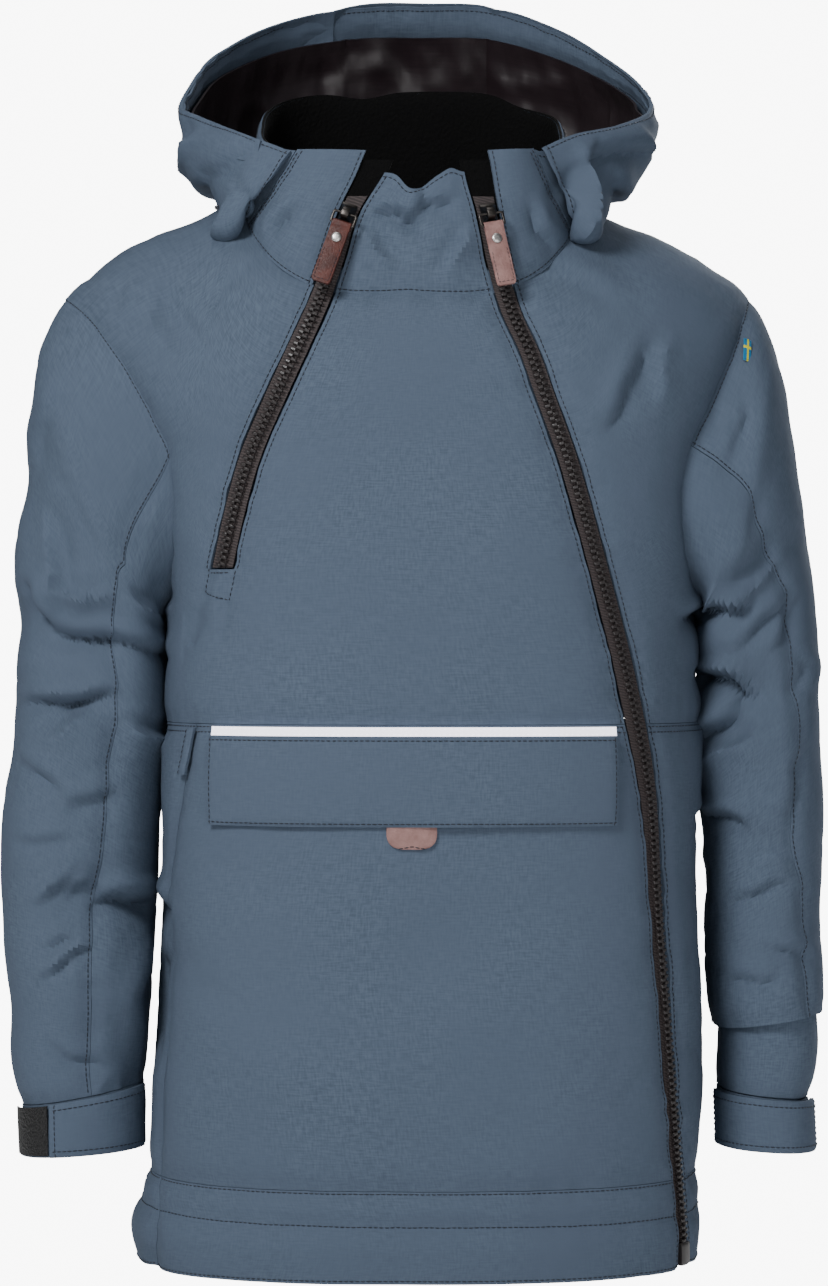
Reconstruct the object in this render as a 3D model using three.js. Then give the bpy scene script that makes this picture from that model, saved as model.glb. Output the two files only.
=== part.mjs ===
// A child's padded anorak pullover, hanging filled out as if worn.
// Millimetres, +Z up, the front faces -Y, and +X is on the right of someone who looks at the front.
// The origin is the middle of the neck opening, at the height of the shoulder seams.
import * as THREE from "three";

// Cloth thicknesses and gaps
const PADDED = 4;
const COLLAR_CLOTH = 2.6;
const HOOD_CLOTH = 2.2;
const LINING_CLOTH = 1.4;
const SEAM_GAP = 0.3;
const OVERLAY_LIFT = 0.9;

// Heights of the level seams
const CHEST_SEAM_Z = -295;
const HEM_SEAM_Z = -569;
const HEM_BOTTOM_Z = -623;
const SHORT_ZIP_END_Z = -203;
const ZIP_TOP_Z = 8;

// Roundness of the sections: 2 is an ellipse, more is squarer
const BODY_SQUARENESS = 2.6;
const SHOULDER_SQUARENESS = 1.75;
const COLLAR_SQUARENESS = 3.2;
const SHOULDER_ROUND_FROM_Z = -110;
const RISE_SCALE = 100;
// Half the gap of the side seams and the shoulder seams, as angles
const SIDE_GAP = 0.0015;
const RIDGE_GAP = 0.0025;

// The body's outline at each height; above the armpits the sides are where the chest would close
const BODY_SECTIONS = [
  { z: -625, left: -168, right: 174, front: 131, back: 122 },
  { z: -600, left: -173, right: 177, front: 132, back: 123 },
  { z: -569, left: -163, right: 175, front: 130, back: 122 },
  { z: -510, left: -161, right: 178, front: 130, back: 121 },
  { z: -410, left: -156, right: 175, front: 129, back: 120 },
  { z: -295, left: -152, right: 174, front: 127, back: 118 },
  { z: -225, left: -151, right: 172, front: 124, back: 116 },
  { z: -175, left: -160, right: 178, front: 122, back: 115 },
  { z: -125, left: -174, right: 187, front: 119, back: 114 },
  { z: -60, left: -219, right: 213, front: 116, back: 112 },
  { z: 0, left: -252, right: 240, front: 114, back: 108 },
  { z: 70, left: -262, right: 250, front: 112, back: 104 },
];

// The shoulder line: its height at each distance from the middle
const SHOULDER_LINE = [
  { d: 0, z: 50 },
  { d: 60, z: 41 },
  { d: 106, z: 26 },
  { d: 131, z: 14 },
  { d: 153, z: 6 },
  { d: 176, z: -5 },
  { d: 193, z: -17 },
  { d: 212, z: -31 },
  { d: 240, z: -58 },
];

// Where the armholes cut the body, seen from the front
const ARMHOLES = [
  { z: -225, left: -151, right: 172 },
  { z: -190, left: -148, right: 165 },
  { z: -157, left: -147, right: 162 },
  { z: -130, left: -149, right: 167 },
  { z: -112, left: -157, right: 176 },
  { z: -88, left: -170, right: 187 },
  { z: -66, left: -184, right: 196 },
  { z: -45, left: -201, right: 203 },
  { z: -32, left: -216, right: 206 },
];
const ARMPIT_Z = ARMHOLES[0].z;
// The body's edge stops this far short of the armhole line
const ARMHOLE_INSET = { left: 1.5, right: 1.9 };

// Middle line and half width of each zip's tape as the front shows it
const SHORT_ZIP = [
  { z: -203, x: -116, half: 7.6 },
  { z: -162, x: -106, half: 7.6 },
  { z: -133, x: -97, half: 7.8 },
  { z: -103, x: -84, half: 8 },
  { z: -73, x: -70, half: 8 },
  { z: -43, x: -57, half: 7.6 },
  { z: -19, x: -48.5, half: 7.2 },
  { z: 10, x: -39, half: 6.6 },
  { z: 34, x: -26, half: 8 },
  { z: 52, x: -19, half: 8 },
];
const LONG_ZIP = [
  { z: -625, x: 164, half: 3.4 },
  { z: -589, x: 162, half: 3.4 },
  { z: -547, x: 158, half: 3.5 },
  { z: -504, x: 154.5, half: 3.7 },
  { z: -445, x: 149.5, half: 4.2 },
  { z: -400, x: 146, half: 4.8 },
  { z: -352, x: 143, half: 5.6 },
  { z: -320, x: 138.5, half: 6.6 },
  { z: -295, x: 133.5, half: 7 },
  { z: -252, x: 123.7, half: 7 },
  { z: -198, x: 109, half: 7 },
  { z: -139, x: 92, half: 7 },
  { z: -103, x: 79, half: 7 },
  { z: -73, x: 68.6, half: 7 },
  { z: -50, x: 58.5, half: 7 },
  { z: -20, x: 50, half: 7 },
  { z: 10, x: 44, half: 7 },
  { z: 30, x: 39.5, half: 8 },
  { z: 52, x: 36, half: 8 },
];

// Left side seam, which lies a little to the front below the chest seam
const LEFT_SIDE_SEAM = [
  { z: -625, x: -157 },
  { z: -569, x: -154 },
  { z: -480, x: -153 },
  { z: -410, x: -150 },
  { z: -350, x: -143 },
  { z: -295, x: -132 },
];

// The collar's plan at its foot and its top, and the height of its top edge
const COLLAR_FOOT = { half: 104, front: 97, back: 84 };
const COLLAR_TOP = { half: 94, front: 91, back: 90 };
const COLLAR_MIDDLE_X = -2;
const COLLAR_EDGE = [
  { y: -95, z: 47 },
  { y: -70, z: 52 },
  { y: 0, z: 74 },
  { y: 92, z: 108 },
];
const COLLAR_LIFT = 1.6;
// Angles round the collar, in degrees, of the seams that the hood's front edges follow
const COLLAR_SEAMS = [
  { share: 0, left: -151, right: -31 },
  { share: 1, left: -131, right: -45 },
];

// Each row is a rib of the hood: its rim, its fullest point, and the angle and height share of its
// foot on the collar
const HOOD_RIBS = [
  { rim: [-77, -80, 50], full: [-94, -80, 18], foot: [-150, 0.06] },
  { rim: [-104, -58, 62], full: [-123, -76, -34], foot: [-163, 0.12] },
  { rim: [-135, -12, 79], full: [-141, -14, 12], foot: [176, 0.12] },
  { rim: [-146, 15, 88], full: [-146, 20, 26], foot: [164, 0.14] },
  { rim: [-142, 52, 107], full: [-150, 64, 28], foot: [150, 0.16] },
  { rim: [-128, 95, 133], full: [-146, 120, 34], foot: [136, 0.18] },
  { rim: [-91, 145, 161], full: [-108, 194, 34], foot: [121, 0.18] },
  { rim: [-40, 167, 176], full: [-50, 242, 34], foot: [106, 0.18] },
  { rim: [4, 172, 178], full: [2, 252, 34], foot: [91, 0.18] },
  { rim: [52, 165, 175], full: [58, 238, 34], foot: [76, 0.18] },
  { rim: [98, 138, 154], full: [112, 188, 34], foot: [61, 0.18] },
  { rim: [131, 98, 127], full: [148, 120, 34], foot: [46, 0.18] },
  { rim: [147, 50, 104], full: [154, 62, 28], foot: [31, 0.16] },
  { rim: [148, 4, 84], full: [151, 12, 24], foot: [16, 0.14] },
  { rim: [126, -36, 70], full: [139, -32, 8], foot: [4, 0.12] },
  { rim: [98, -63, 61], full: [117, -76, -32], foot: [-17, 0.12] },
  { rim: [80, -80, 52], full: [96, -80, 18], foot: [-32, 0.06] },
];
const HOOD_PANEL_SEAMS = [0.42, 0.565];
const HOOD_CLEARANCE = 3;
const RIM_BAND_SHARE = 0.09;

// Each row is a section of a sleeve: its outer and inner points as the front shows them, half its
// depth, how far its middle lies behind the body's, and the angle of its front seam
const SLEEVE_LEFT = [
  { outer: [-231, -66], inner: [-157, -240], depth: 70, y: 0, seam: 121 },
  { outer: [-236, -108], inner: [-157, -258], depth: 66, y: 3, seam: 114 },
  { outer: [-237, -148], inner: [-157, -276], depth: 63, y: 5, seam: 111 },
  { outer: [-247, -192], inner: [-156, -296], depth: 62, y: 7, seam: 118 },
  { outer: [-246, -232], inner: [-157, -318], depth: 60, y: 9, seam: 118 },
  { outer: [-246, -270], inner: [-158, -342], depth: 60, y: 10, seam: 112 },
  { outer: [-249, -308], inner: [-159, -368], depth: 60, y: 11, seam: 113 },
  { outer: [-255, -350], inner: [-160, -396], depth: 59, y: 12, seam: 112 },
  { outer: [-256, -390], inner: [-162, -426], depth: 58, y: 13, seam: 108 },
  { outer: [-254, -430], inner: [-164, -456], depth: 56, y: 13, seam: 106 },
  { outer: [-249, -470], inner: [-166, -486], depth: 53, y: 12, seam: 105 },
  { outer: [-250, -503], inner: [-167, -506], depth: 50, y: 10, seam: 105 },
  { outer: [-245, -532], inner: [-167, -518], depth: 47, y: 8, seam: 104 },
];
const SLEEVE_RIGHT = [
  { outer: [221, -66], inner: [178, -240], depth: 70, y: 0, seam: 90 },
  { outer: [230, -108], inner: [179, -258], depth: 66, y: 3, seam: 84 },
  { outer: [237, -150], inner: [179, -276], depth: 63, y: 5, seam: 72 },
  { outer: [244, -190], inner: [179, -296], depth: 61, y: 7, seam: 62 },
  { outer: [249, -232], inner: [180, -318], depth: 60, y: 9, seam: 64 },
  { outer: [250, -270], inner: [181, -342], depth: 60, y: 10, seam: 58 },
  { outer: [252, -310], inner: [181, -368], depth: 60, y: 11, seam: 66 },
  { outer: [254, -352], inner: [181, -396], depth: 59, y: 12, seam: 68 },
  { outer: [253, -388], inner: [182, -426], depth: 58, y: 13, seam: 56 },
  { outer: [252, -428], inner: [183, -452], depth: 57, y: 13, seam: 54 },
  { outer: [256, -474], inner: [184, -484], depth: 56, y: 12, seam: 54 },
];
const SLEEVE_RIGHT_LOWER = [
  { outer: [249.4, -462], inner: [190.6, -470], depth: 46.8, y: 12, seam: 90 },
  { outer: [250, -497], inner: [189, -498], depth: 46.8, y: 10, seam: 90 },
  { outer: [246, -527], inner: [187, -521], depth: 46, y: 8, seam: 90 },
];
const CUFF_LEFT = [
  { outer: [-245, -532.4], inner: [-167, -518.4], depth: 46, y: 8, seam: 90 },
  { outer: [-243, -563], inner: [-168, -557], depth: 45, y: 7, seam: 90 },
];
const CUFF_RIGHT = [
  { outer: [246, -528.1], inner: [187, -522.1], depth: 45, y: 8, seam: 90 },
  { outer: [247, -560], inner: [188, -556], depth: 44, y: 7, seam: 90 },
];

// The largest folds, placed by the point of the front or back that they cross: half their length and
// width, their height (a trough is negative) and the angle of their run over the level
const FOLDS = [
  { face: -1, x: -212, z: -240, long: 62, wide: 15, high: -8, tilt: -14 },
  { face: -1, x: -206, z: -214, long: 52, wide: 14, high: 4, tilt: 6 },
  { face: -1, x: -214, z: -281, long: 44, wide: 13, high: -6, tilt: 4 },
  { face: -1, x: -190, z: -402, long: 44, wide: 16, high: -6, tilt: 8 },
  { face: -1, x: -214, z: -410, long: 46, wide: 14, high: -5, tilt: 22 },
  { face: -1, x: 214, z: -208, long: 52, wide: 14, high: -8, tilt: 48 },
  { face: -1, x: 204, z: -272, long: 46, wide: 16, high: -9, tilt: -22 },
  { face: -1, x: 214, z: -306, long: 44, wide: 14, high: 4, tilt: 24 },
  { face: -1, x: 214, z: -372, long: 50, wide: 16, high: -5, tilt: -12 },
  { face: 1, x: -206, z: -230, long: 60, wide: 16, high: -8, tilt: 12 },
  { face: 1, x: -210, z: -320, long: 52, wide: 16, high: -6, tilt: -10 },
  { face: 1, x: -206, z: -418, long: 52, wide: 16, high: -6, tilt: 14 },
  { face: 1, x: 212, z: -222, long: 60, wide: 16, high: -8, tilt: -14 },
  { face: 1, x: 214, z: -300, long: 50, wide: 16, high: -6, tilt: 12 },
  { face: 1, x: 214, z: -400, long: 50, wide: 16, high: -6, tilt: -10 },
  { face: -1, x: -40, z: -130, long: 110, wide: 24, high: -3, tilt: -28 },
  { face: -1, x: 20, z: -430, long: 120, wide: 34, high: -4, tilt: 10 },
  { face: -1, x: -70, z: -500, long: 90, wide: 26, high: 3, tilt: -20 },
  { face: 1, x: 0, z: -190, long: 120, wide: 26, high: -5, tilt: 8 },
  { face: 1, x: 30, z: -430, long: 130, wide: 30, high: -6, tilt: -9 },
  { face: 1, x: -60, z: -510, long: 90, wide: 26, high: 4, tilt: 14 },
];

// Flat trim on the front
const STRIP = { left: -120, right: 119.5, top: -296.4, bottom: -301.8, thick: 0.8 };
const FLAP = { left: -119.5, right: 118.5, top: -302.4, bottom: -355, thick: 3 };
const PULL_TAB = { left: -16, right: 13.5, top: -346, bottom: -368, thick: 1.8 };
const WELT = { top: -298, bottom: -326, half: 2.2, thick: 1.6 };

// Zip hardware
const CHAIN = { half: 4, proud: 2, deep: 1.1 };
const TAPE = { top: 1.5, thick: 1 };
const SLIDER = { half: 4.8, length: 14, rise: 7, lift: 0.4, plate: 2.6, eye: 1.5 };
const LINK = { half: 6.3, wire: 1.5, length: 7 };
const LEATHER = { half: 5.9, length: 38, thick: 2.4 };
const RIVET = { radius: 3, thick: 1, down: 9 };
const PULL_LEAN = 9;
const EYE_SIDES = 10;
const ZIP_BOX = { bottom: -622, top: -608, proud: 2.6 };
const SNAP = { radius: 3.6, thick: 1.6 };
const FLAG = { width: 6, length: 14, thick: 0.6, lift: 2.7, angle: -50, place: 0.3, turn: 17 };

const DEGREE = Math.PI / 180;

const material = (name, color, roughness, metalness = 0) => {
  const made = new THREE.MeshStandardMaterial({ color, roughness, metalness, side: THREE.DoubleSide });
  made.name = name;
  return made;
};

const MATERIALS = {
  shell: material("shell_cloth", 0x5f6f82, 0.85),
  lining: material("satin_lining", 0x2b2327, 0.45),
  fleece: material("black_fleece", 0x121214, 0.95),
  tape: material("zip_tape", 0x3b3434, 0.8),
  teeth: material("moulded_teeth", 0x2b282a, 0.3),
  metal: material("nickel_metal", 0xb8b8ba, 0.3, 1),
  leatherDark: material("leather_dark", 0x5f2f28, 0.55),
  leatherPale: material("leather_pale", 0x8d6a66, 0.6),
  reflective: material("reflective_tape", 0xf2eefb, 0.4),
  hook: material("hook_patch", 0x151517, 0.9),
  flag: material("flag_label", 0x1e7fb0, 0.7),
};

const anorak = new THREE.Group();

function addPiece(name, geometry, finish) {
  const mesh = new THREE.Mesh(geometry, finish);
  mesh.name = name;
  anorak.add(mesh);
  return mesh;
}

const mix = (a, b, t) => a + (b - a) * t;
const clamp = (value, low, high) => Math.min(high, Math.max(low, value));

// Reads a column of a table at a key, by a smooth curve through the rows
function read(rows, key, column, at) {
  const last = rows.length - 1;
  const rising = rows[last][key] > rows[0][key];
  const place = (k) => (rising ? rows[k][key] : -rows[k][key]);
  const x = clamp(rising ? at : -at, place(0), place(last));
  let k = 0;
  while (k < last - 1 && x > place(k + 1)) k += 1;
  const slope = (j) => {
    const low = Math.max(0, j - 1);
    const high = Math.min(last, j + 1);
    return (rows[high][column] - rows[low][column]) / (place(high) - place(low));
  };
  const span = place(k + 1) - place(k);
  const t = (x - place(k)) / span;
  const t2 = t * t;
  const t3 = t2 * t;
  return (
    rows[k][column] * (2 * t3 - 3 * t2 + 1) +
    rows[k + 1][column] * (3 * t2 - 2 * t3) +
    slope(k) * span * (t3 - 2 * t2 + t) +
    slope(k + 1) * span * (t3 - t2)
  );
}

// A smooth curve through a list of points, at a share of its rows
function through(points, share) {
  const last = points.length - 1;
  const at = clamp(share, 0, 1) * last;
  const k = Math.min(last - 1, Math.floor(at));
  const t = at - k;
  const [a, b, c, d] = [k - 1, k, k + 1, k + 2].map((j) => points[clamp(j, 0, last)]);
  const value = (axis) =>
    0.5 * (2 * b[axis] + (c[axis] - a[axis]) * t +
      (2 * a[axis] - 5 * b[axis] + 4 * c[axis] - d[axis]) * t * t +
      (3 * b[axis] - a[axis] - 3 * c[axis] + d[axis]) * t * t * t);
  return new THREE.Vector3(value("x"), value("y"), value("z"));
}

const vector = ([x, y, z]) => new THREE.Vector3(x, y, z);

// How far the large folds move the cloth out at a point
function foldHeight(point) {
  let height = 0;
  for (const fold of FOLDS) {
    const facing = clamp(fold.face * point.y * 0.05 + 0.5, 0, 1);
    const turn = fold.tilt * DEGREE;
    const dx = point.x - fold.x;
    const dz = point.z - fold.z;
    const run = (dx * Math.cos(turn) + dz * Math.sin(turn)) / fold.long;
    const across = (dz * Math.cos(turn) - dx * Math.sin(turn)) / fold.wide;
    const reach = Math.max(0, 1 - run * run);
    height += facing * fold.high * reach * reach * Math.exp(-across * across);
  }
  return height;
}

// A surface of cloth: its point and the way out at two coordinates, and its large folds
function surface(point, { out = 1, folded = false, normal = null } = {}) {
  const step = 1e-3;
  const ownNormal = (u, v) => {
    const across = point(u + step, v).sub(point(u - step, v));
    const along = point(u, v + step).sub(point(u, v - step));
    return across.cross(along).normalize().multiplyScalar(out);
  };
  const way = normal ? (u, v) => normal(u, v, ownNormal) : ownNormal;
  return (u, v, depth) => {
    const base = point(u, v);
    const lift = folded ? foldHeight(base) : 0;
    return base.addScaledVector(way(u, v), lift - depth);
  };
}

// A wall of cloth over a grid of a surface, from one depth below it to another
function wall(cloth, { columns, rows, at, from = 0, to, closed = false, open = () => false }) {
  const wide = closed ? columns : columns + 1;
  const count = wide * (rows + 1);
  const positions = [];
  for (const depth of [from, to]) {
    for (let j = 0; j <= rows; j += 1) {
      for (let i = 0; i < wide; i += 1) {
        const [u, v] = at(i / columns, j / rows);
        positions.push(...cloth(u, v, depth).toArray());
      }
    }
  }
  const index = (i, j, side) => side * count + j * wide + (closed ? (i + columns) % columns : i);
  const kept = (i, j) => {
    if (j < 0 || j >= rows) return false;
    if (!closed && (i < 0 || i >= columns)) return false;
    return !open((i + columns) % columns, j);
  };
  const faces = [];
  const quad = (a, b, c, d) => faces.push(a, b, c, a, c, d);
  for (let j = 0; j < rows; j += 1) {
    for (let i = 0; i < columns; i += 1) {
      if (!kept(i, j)) continue;
      quad(index(i, j, 0), index(i + 1, j, 0), index(i + 1, j + 1, 0), index(i, j + 1, 0));
      quad(index(i, j, 1), index(i, j + 1, 1), index(i + 1, j + 1, 1), index(i + 1, j, 1));
      if (!kept(i, j - 1)) quad(index(i, j, 0), index(i, j, 1), index(i + 1, j, 1), index(i + 1, j, 0));
      if (!kept(i, j + 1)) {
        quad(index(i, j + 1, 0), index(i + 1, j + 1, 0), index(i + 1, j + 1, 1), index(i, j + 1, 1));
      }
      if (!kept(i - 1, j)) quad(index(i, j, 0), index(i, j + 1, 0), index(i, j + 1, 1), index(i, j, 1));
      if (!kept(i + 1, j)) {
        quad(index(i + 1, j, 0), index(i + 1, j, 1), index(i + 1, j + 1, 1), index(i + 1, j + 1, 0));
      }
    }
  }
  return closedBody(positions, faces);
}

// A geometry of the used vertices, with its faces turned to point out
function closedBody(positions, faces) {
  const names = new Map();
  const used = [];
  const packed = faces.map((k) => {
    if (!names.has(k)) {
      names.set(k, names.size);
      used.push(positions[3 * k], positions[3 * k + 1], positions[3 * k + 2]);
    }
    return names.get(k);
  });
  const corner = (k) => new THREE.Vector3().fromArray(used, 3 * packed[k]);
  let volume = 0;
  for (let k = 0; k < packed.length; k += 3) {
    volume += corner(k).dot(corner(k + 1).cross(corner(k + 2)));
  }
  if (volume < 0) packed.reverse();
  const geometry = new THREE.BufferGeometry();
  geometry.setAttribute("position", new THREE.Float32BufferAttribute(used, 3));
  geometry.setIndex(packed);
  geometry.computeVertexNormals();
  return geometry;
}

// A unit squircle: its point at an angle, and the angle of its point on one side at a given x
function squircle(angle, squareness) {
  const c = Math.cos(angle);
  const s = Math.sin(angle);
  const size = (Math.abs(c) ** squareness + Math.abs(s) ** squareness) ** (1 / squareness);
  return [c / size, s / size];
}

const squircleRise = (x, squareness) => Math.max(0, 1 - Math.abs(x) ** squareness) ** (1 / squareness);
const squircleAngle = (x, squareness) => Math.atan2(squircleRise(x, squareness), x);

// The body's surface, over an angle round it and a rise that turns in at the shoulder line
function bodySection(z) {
  const side = (name) => read(BODY_SECTIONS, "z", name, z);
  const left = side("left");
  const right = side("right");
  return { middle: (left + right) / 2, half: (right - left) / 2, front: side("front"), back: side("back") };
}

const shoulderZ = (distance) => read(SHOULDER_LINE, "d", "z", Math.abs(distance));

function bodyPoint(angle, rise) {
  const [across, deep] = squircle(angle, BODY_SQUARENESS);
  const [cap, share] = squircle(Math.max(0, rise), SHOULDER_SQUARENESS);
  let z = SHOULDER_ROUND_FROM_Z + Math.min(0, rise) * RISE_SCALE;
  let section = bodySection(z);
  for (let pass = 0; rise > 0 && pass < 12; pass += 1) {
    const top = shoulderZ(section.half * across);
    z = SHOULDER_ROUND_FROM_Z + (top - SHOULDER_ROUND_FROM_Z) * share;
    section = bodySection(z);
  }
  const depth = deep < 0 ? section.front : section.back;
  return new THREE.Vector3(section.middle + section.half * across, depth * deep * cap, z);
}

// The angle and rise of the point of the front or back that is seen at x, z
function bodyPlace(face, x, z) {
  const section = bodySection(z);
  const across = clamp((x - section.middle) / section.half, -1, 1);
  const angle = clamp(squircleAngle(across, BODY_SQUARENESS), SIDE_GAP, Math.PI - SIDE_GAP);
  const top = shoulderZ(x - section.middle);
  const share = (z - SHOULDER_ROUND_FROM_Z) / (top - SHOULDER_ROUND_FROM_Z);
  if (share <= 0) return [face * angle, (z - SHOULDER_ROUND_FROM_Z) / RISE_SCALE];
  const turn = Math.PI / 2 - squircleAngle(clamp(share, 0, 1), SHOULDER_SQUARENESS);
  return [face * angle, Math.min(turn, Math.PI / 2 - RIDGE_GAP)];
}

const body = surface(bodyPoint, { folded: true });

// The collar's surface, over an angle round it and a share of its height
function collarPlan(angle, share) {
  const [across, deep] = squircle(angle, COLLAR_SQUARENESS);
  const side = deep < 0 ? "front" : "back";
  const x = COLLAR_MIDDLE_X + across * mix(COLLAR_FOOT.half, COLLAR_TOP.half, share);
  return [x, deep * mix(COLLAR_FOOT[side], COLLAR_TOP[side], share)];
}

// Height of the body's surface over a point of the plan
function bodyTopZ(x, y) {
  let z = 0;
  for (let pass = 0; pass < 30; pass += 1) {
    const section = bodySection(z);
    const across = clamp((x - section.middle) / section.half, -1, 1);
    const reach = (y < 0 ? section.front : section.back) * squircleRise(across, BODY_SQUARENESS);
    const share = squircleRise(clamp(Math.abs(y) / reach, 0, 1), SHOULDER_SQUARENESS);
    const top = shoulderZ(x - section.middle);
    z = SHOULDER_ROUND_FROM_Z + (top - SHOULDER_ROUND_FROM_Z) * share;
  }
  return z;
}

const neckZ = (angle) => bodyTopZ(...collarPlan(angle, 0));

function collarPoint(angle, share) {
  const [x, y] = collarPlan(angle, share);
  const top = read(COLLAR_EDGE, "y", "z", y);
  return new THREE.Vector3(x, y, mix(neckZ(angle) + COLLAR_LIFT, top, share));
}

const collar = surface(collarPoint);

// The collar's angle at the height share of a line that gives x at a height
function collarAngle(lineX, share) {
  let low = -Math.PI;
  let high = 0;
  for (let pass = 0; pass < 40; pass += 1) {
    const angle = (low + high) / 2;
    const point = collarPoint(angle, share);
    if (point.x < lineX(point.z)) low = angle;
    else high = angle;
  }
  return (low + high) / 2;
}

// The collar's height share where a line that gives x at a height reaches a height
function collarShare(lineX, z) {
  let low = 0;
  let high = 1;
  for (let pass = 0; pass < 30; pass += 1) {
    const share = (low + high) / 2;
    if (collarPoint(collarAngle(lineX, share), share).z < z) low = share;
    else high = share;
  }
  return (low + high) / 2;
}

const zipLine = (zip, share) => (z) => read(zip, "z", "x", z) + share * read(zip, "z", "half", z);

// Piecewise straight steps: the value at t between stops of t and value
function steps(stops, t) {
  let k = 0;
  while (k < stops.length - 2 && t > stops[k + 1][0]) k += 1;
  const [t0, v0] = stops[k];
  const [t1, v1] = stops[k + 1];
  return mix(v0, v1, clamp((t - t0) / (t1 - t0), 0, 1));
}

// A patch of surface coordinates between four edge lines
function patch({ left, right, bottom, top }) {
  const corners = [left(0), right(0), left(1), right(1)];
  return (s, t) => [0, 1].map((axis) =>
    (1 - t) * bottom(s)[axis] + t * top(s)[axis] + (1 - s) * left(t)[axis] + s * right(t)[axis] -
    (1 - s) * (1 - t) * corners[0][axis] - s * (1 - t) * corners[1][axis] -
    (1 - s) * t * corners[2][axis] - s * t * corners[3][axis]);
}

// Patches side by side, each with its count of columns
function patchRow(parts) {
  const columns = parts.reduce((sum, part) => sum + part.columns, 0);
  const at = (s, t) => {
    let place = s * columns;
    let k = 0;
    while (k < parts.length - 1 && place > parts[k].columns + 1e-9) {
      place -= parts[k].columns;
      k += 1;
    }
    return parts[k].at(place / parts[k].columns, t);
  };
  return { columns, at };
}

// A line of the body's coordinates up a line that gives x at a height
const upLine = (face, lineX, stops) => (t) => {
  const z = steps(stops, t);
  return bodyPlace(face, lineX(z), z);
};
const between = (a, b) => (s) => [mix(a[0], b[0], s), mix(a[1], b[1], s)];

const armholeX = (side, inset = 0) => (z) => {
  const sign = side === "left" ? 1 : -1;
  const edge = z < ARMPIT_Z ? read(BODY_SECTIONS, "z", side, z) : read(ARMHOLES, "z", side, z);
  return z < ARMPIT_Z ? edge : edge + sign * inset;
};
const tipZ = (side) => {
  let z = -30;
  for (let pass = 0; pass < 20; pass += 1) {
    z = shoulderZ(armholeX(side)(z) - bodySection(z).middle);
  }
  return z;
};

// The top edge of an upper piece from the shoulder tip to the neck, and along the neck seam
function onShoulder(face, x) {
  let z = 0;
  for (let pass = 0; pass < 12; pass += 1) z = shoulderZ(x - bodySection(z).middle);
  return [bodyPlace(face, x, z)[0], Math.PI / 2 - RIDGE_GAP];
}
function neckSpot(face, angle) {
  const [x, y] = collarPlan(angle, 0);
  if (Math.abs(y) < 1) return onShoulder(face, x);
  return bodyPlace(face, x, neckZ(angle) - SEAM_GAP / 2);
}

// Makes the upper half of the front or back between its lines
const NECK_STEP = Math.PI / 12;
function neckPart(face, from, to) {
  const columns = Math.max(1, Math.round(Math.abs(to - from) / NECK_STEP));
  return { columns, top: (s) => neckSpot(face, mix(from, to, s)) };
}

const footAngle = (lineX) => collarAngle(lineX, 0);
const shortLeft = zipLine(SHORT_ZIP, -1);
const shortRight = zipLine(SHORT_ZIP, 1);
const longLeft = zipLine(LONG_ZIP, -1);
const longRight = zipLine(LONG_ZIP, 1);
const UPPER_ROWS = 12;
const ZIP_END_SHARE = 4 / UPPER_ROWS;
const LOWER_ROWS = 10;
const half = SEAM_GAP / 2;

const zipStops = (lineX) => {
  const top = neckZ(footAngle(lineX)) - half;
  return [[0, CHEST_SEAM_Z + half], [ZIP_END_SHARE, SHORT_ZIP_END_Z], [1, top]];
};
const armStops = (side) => [
  [0, CHEST_SEAM_Z + half],
  [3 / UPPER_ROWS, ARMPIT_Z],
  [1, tipZ(side)],
];

// An upper part from one line to another, under a stretch of the top edge
function upperPart(columns, left, right, top) {
  const bottom = between(left(0), right(0));
  return { columns, at: patch({ left, right, bottom, top }) };
}

const shoulderLine = (face, fromX, toX) => (s) => onShoulder(face, mix(fromX, toX, s));
const joinTops = (first, firstShare, second) => (s) =>
  s < firstShare ? first(s / firstShare) : second((s - firstShare) / (1 - firstShare));

const NECK_LEFT_X = COLLAR_MIDDLE_X - COLLAR_FOOT.half;
const NECK_RIGHT_X = COLLAR_MIDDLE_X + COLLAR_FOOT.half;
const SHOULDER_COLUMNS = 4;

function shoulderPart(face, side, line, angle) {
  const tipX = armholeX(side, ARMHOLE_INSET[side])(tipZ(side));
  const neck = neckPart(face, side === "left" ? face * Math.PI : 0, angle);
  const columns = SHOULDER_COLUMNS + neck.columns;
  const arm = upLine(face, armholeX(side, ARMHOLE_INSET[side]), armStops(side));
  if (side === "left") {
    const top = joinTops(shoulderLine(face, tipX, NECK_LEFT_X), SHOULDER_COLUMNS / columns, neck.top);
    return upperPart(columns, arm, line, top);
  }
  const back = (s) => neck.top(1 - s);
  const top = joinTops(back, neck.columns / columns, shoulderLine(face, NECK_RIGHT_X, tipX));
  return upperPart(columns, line, arm, top);
}

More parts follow.
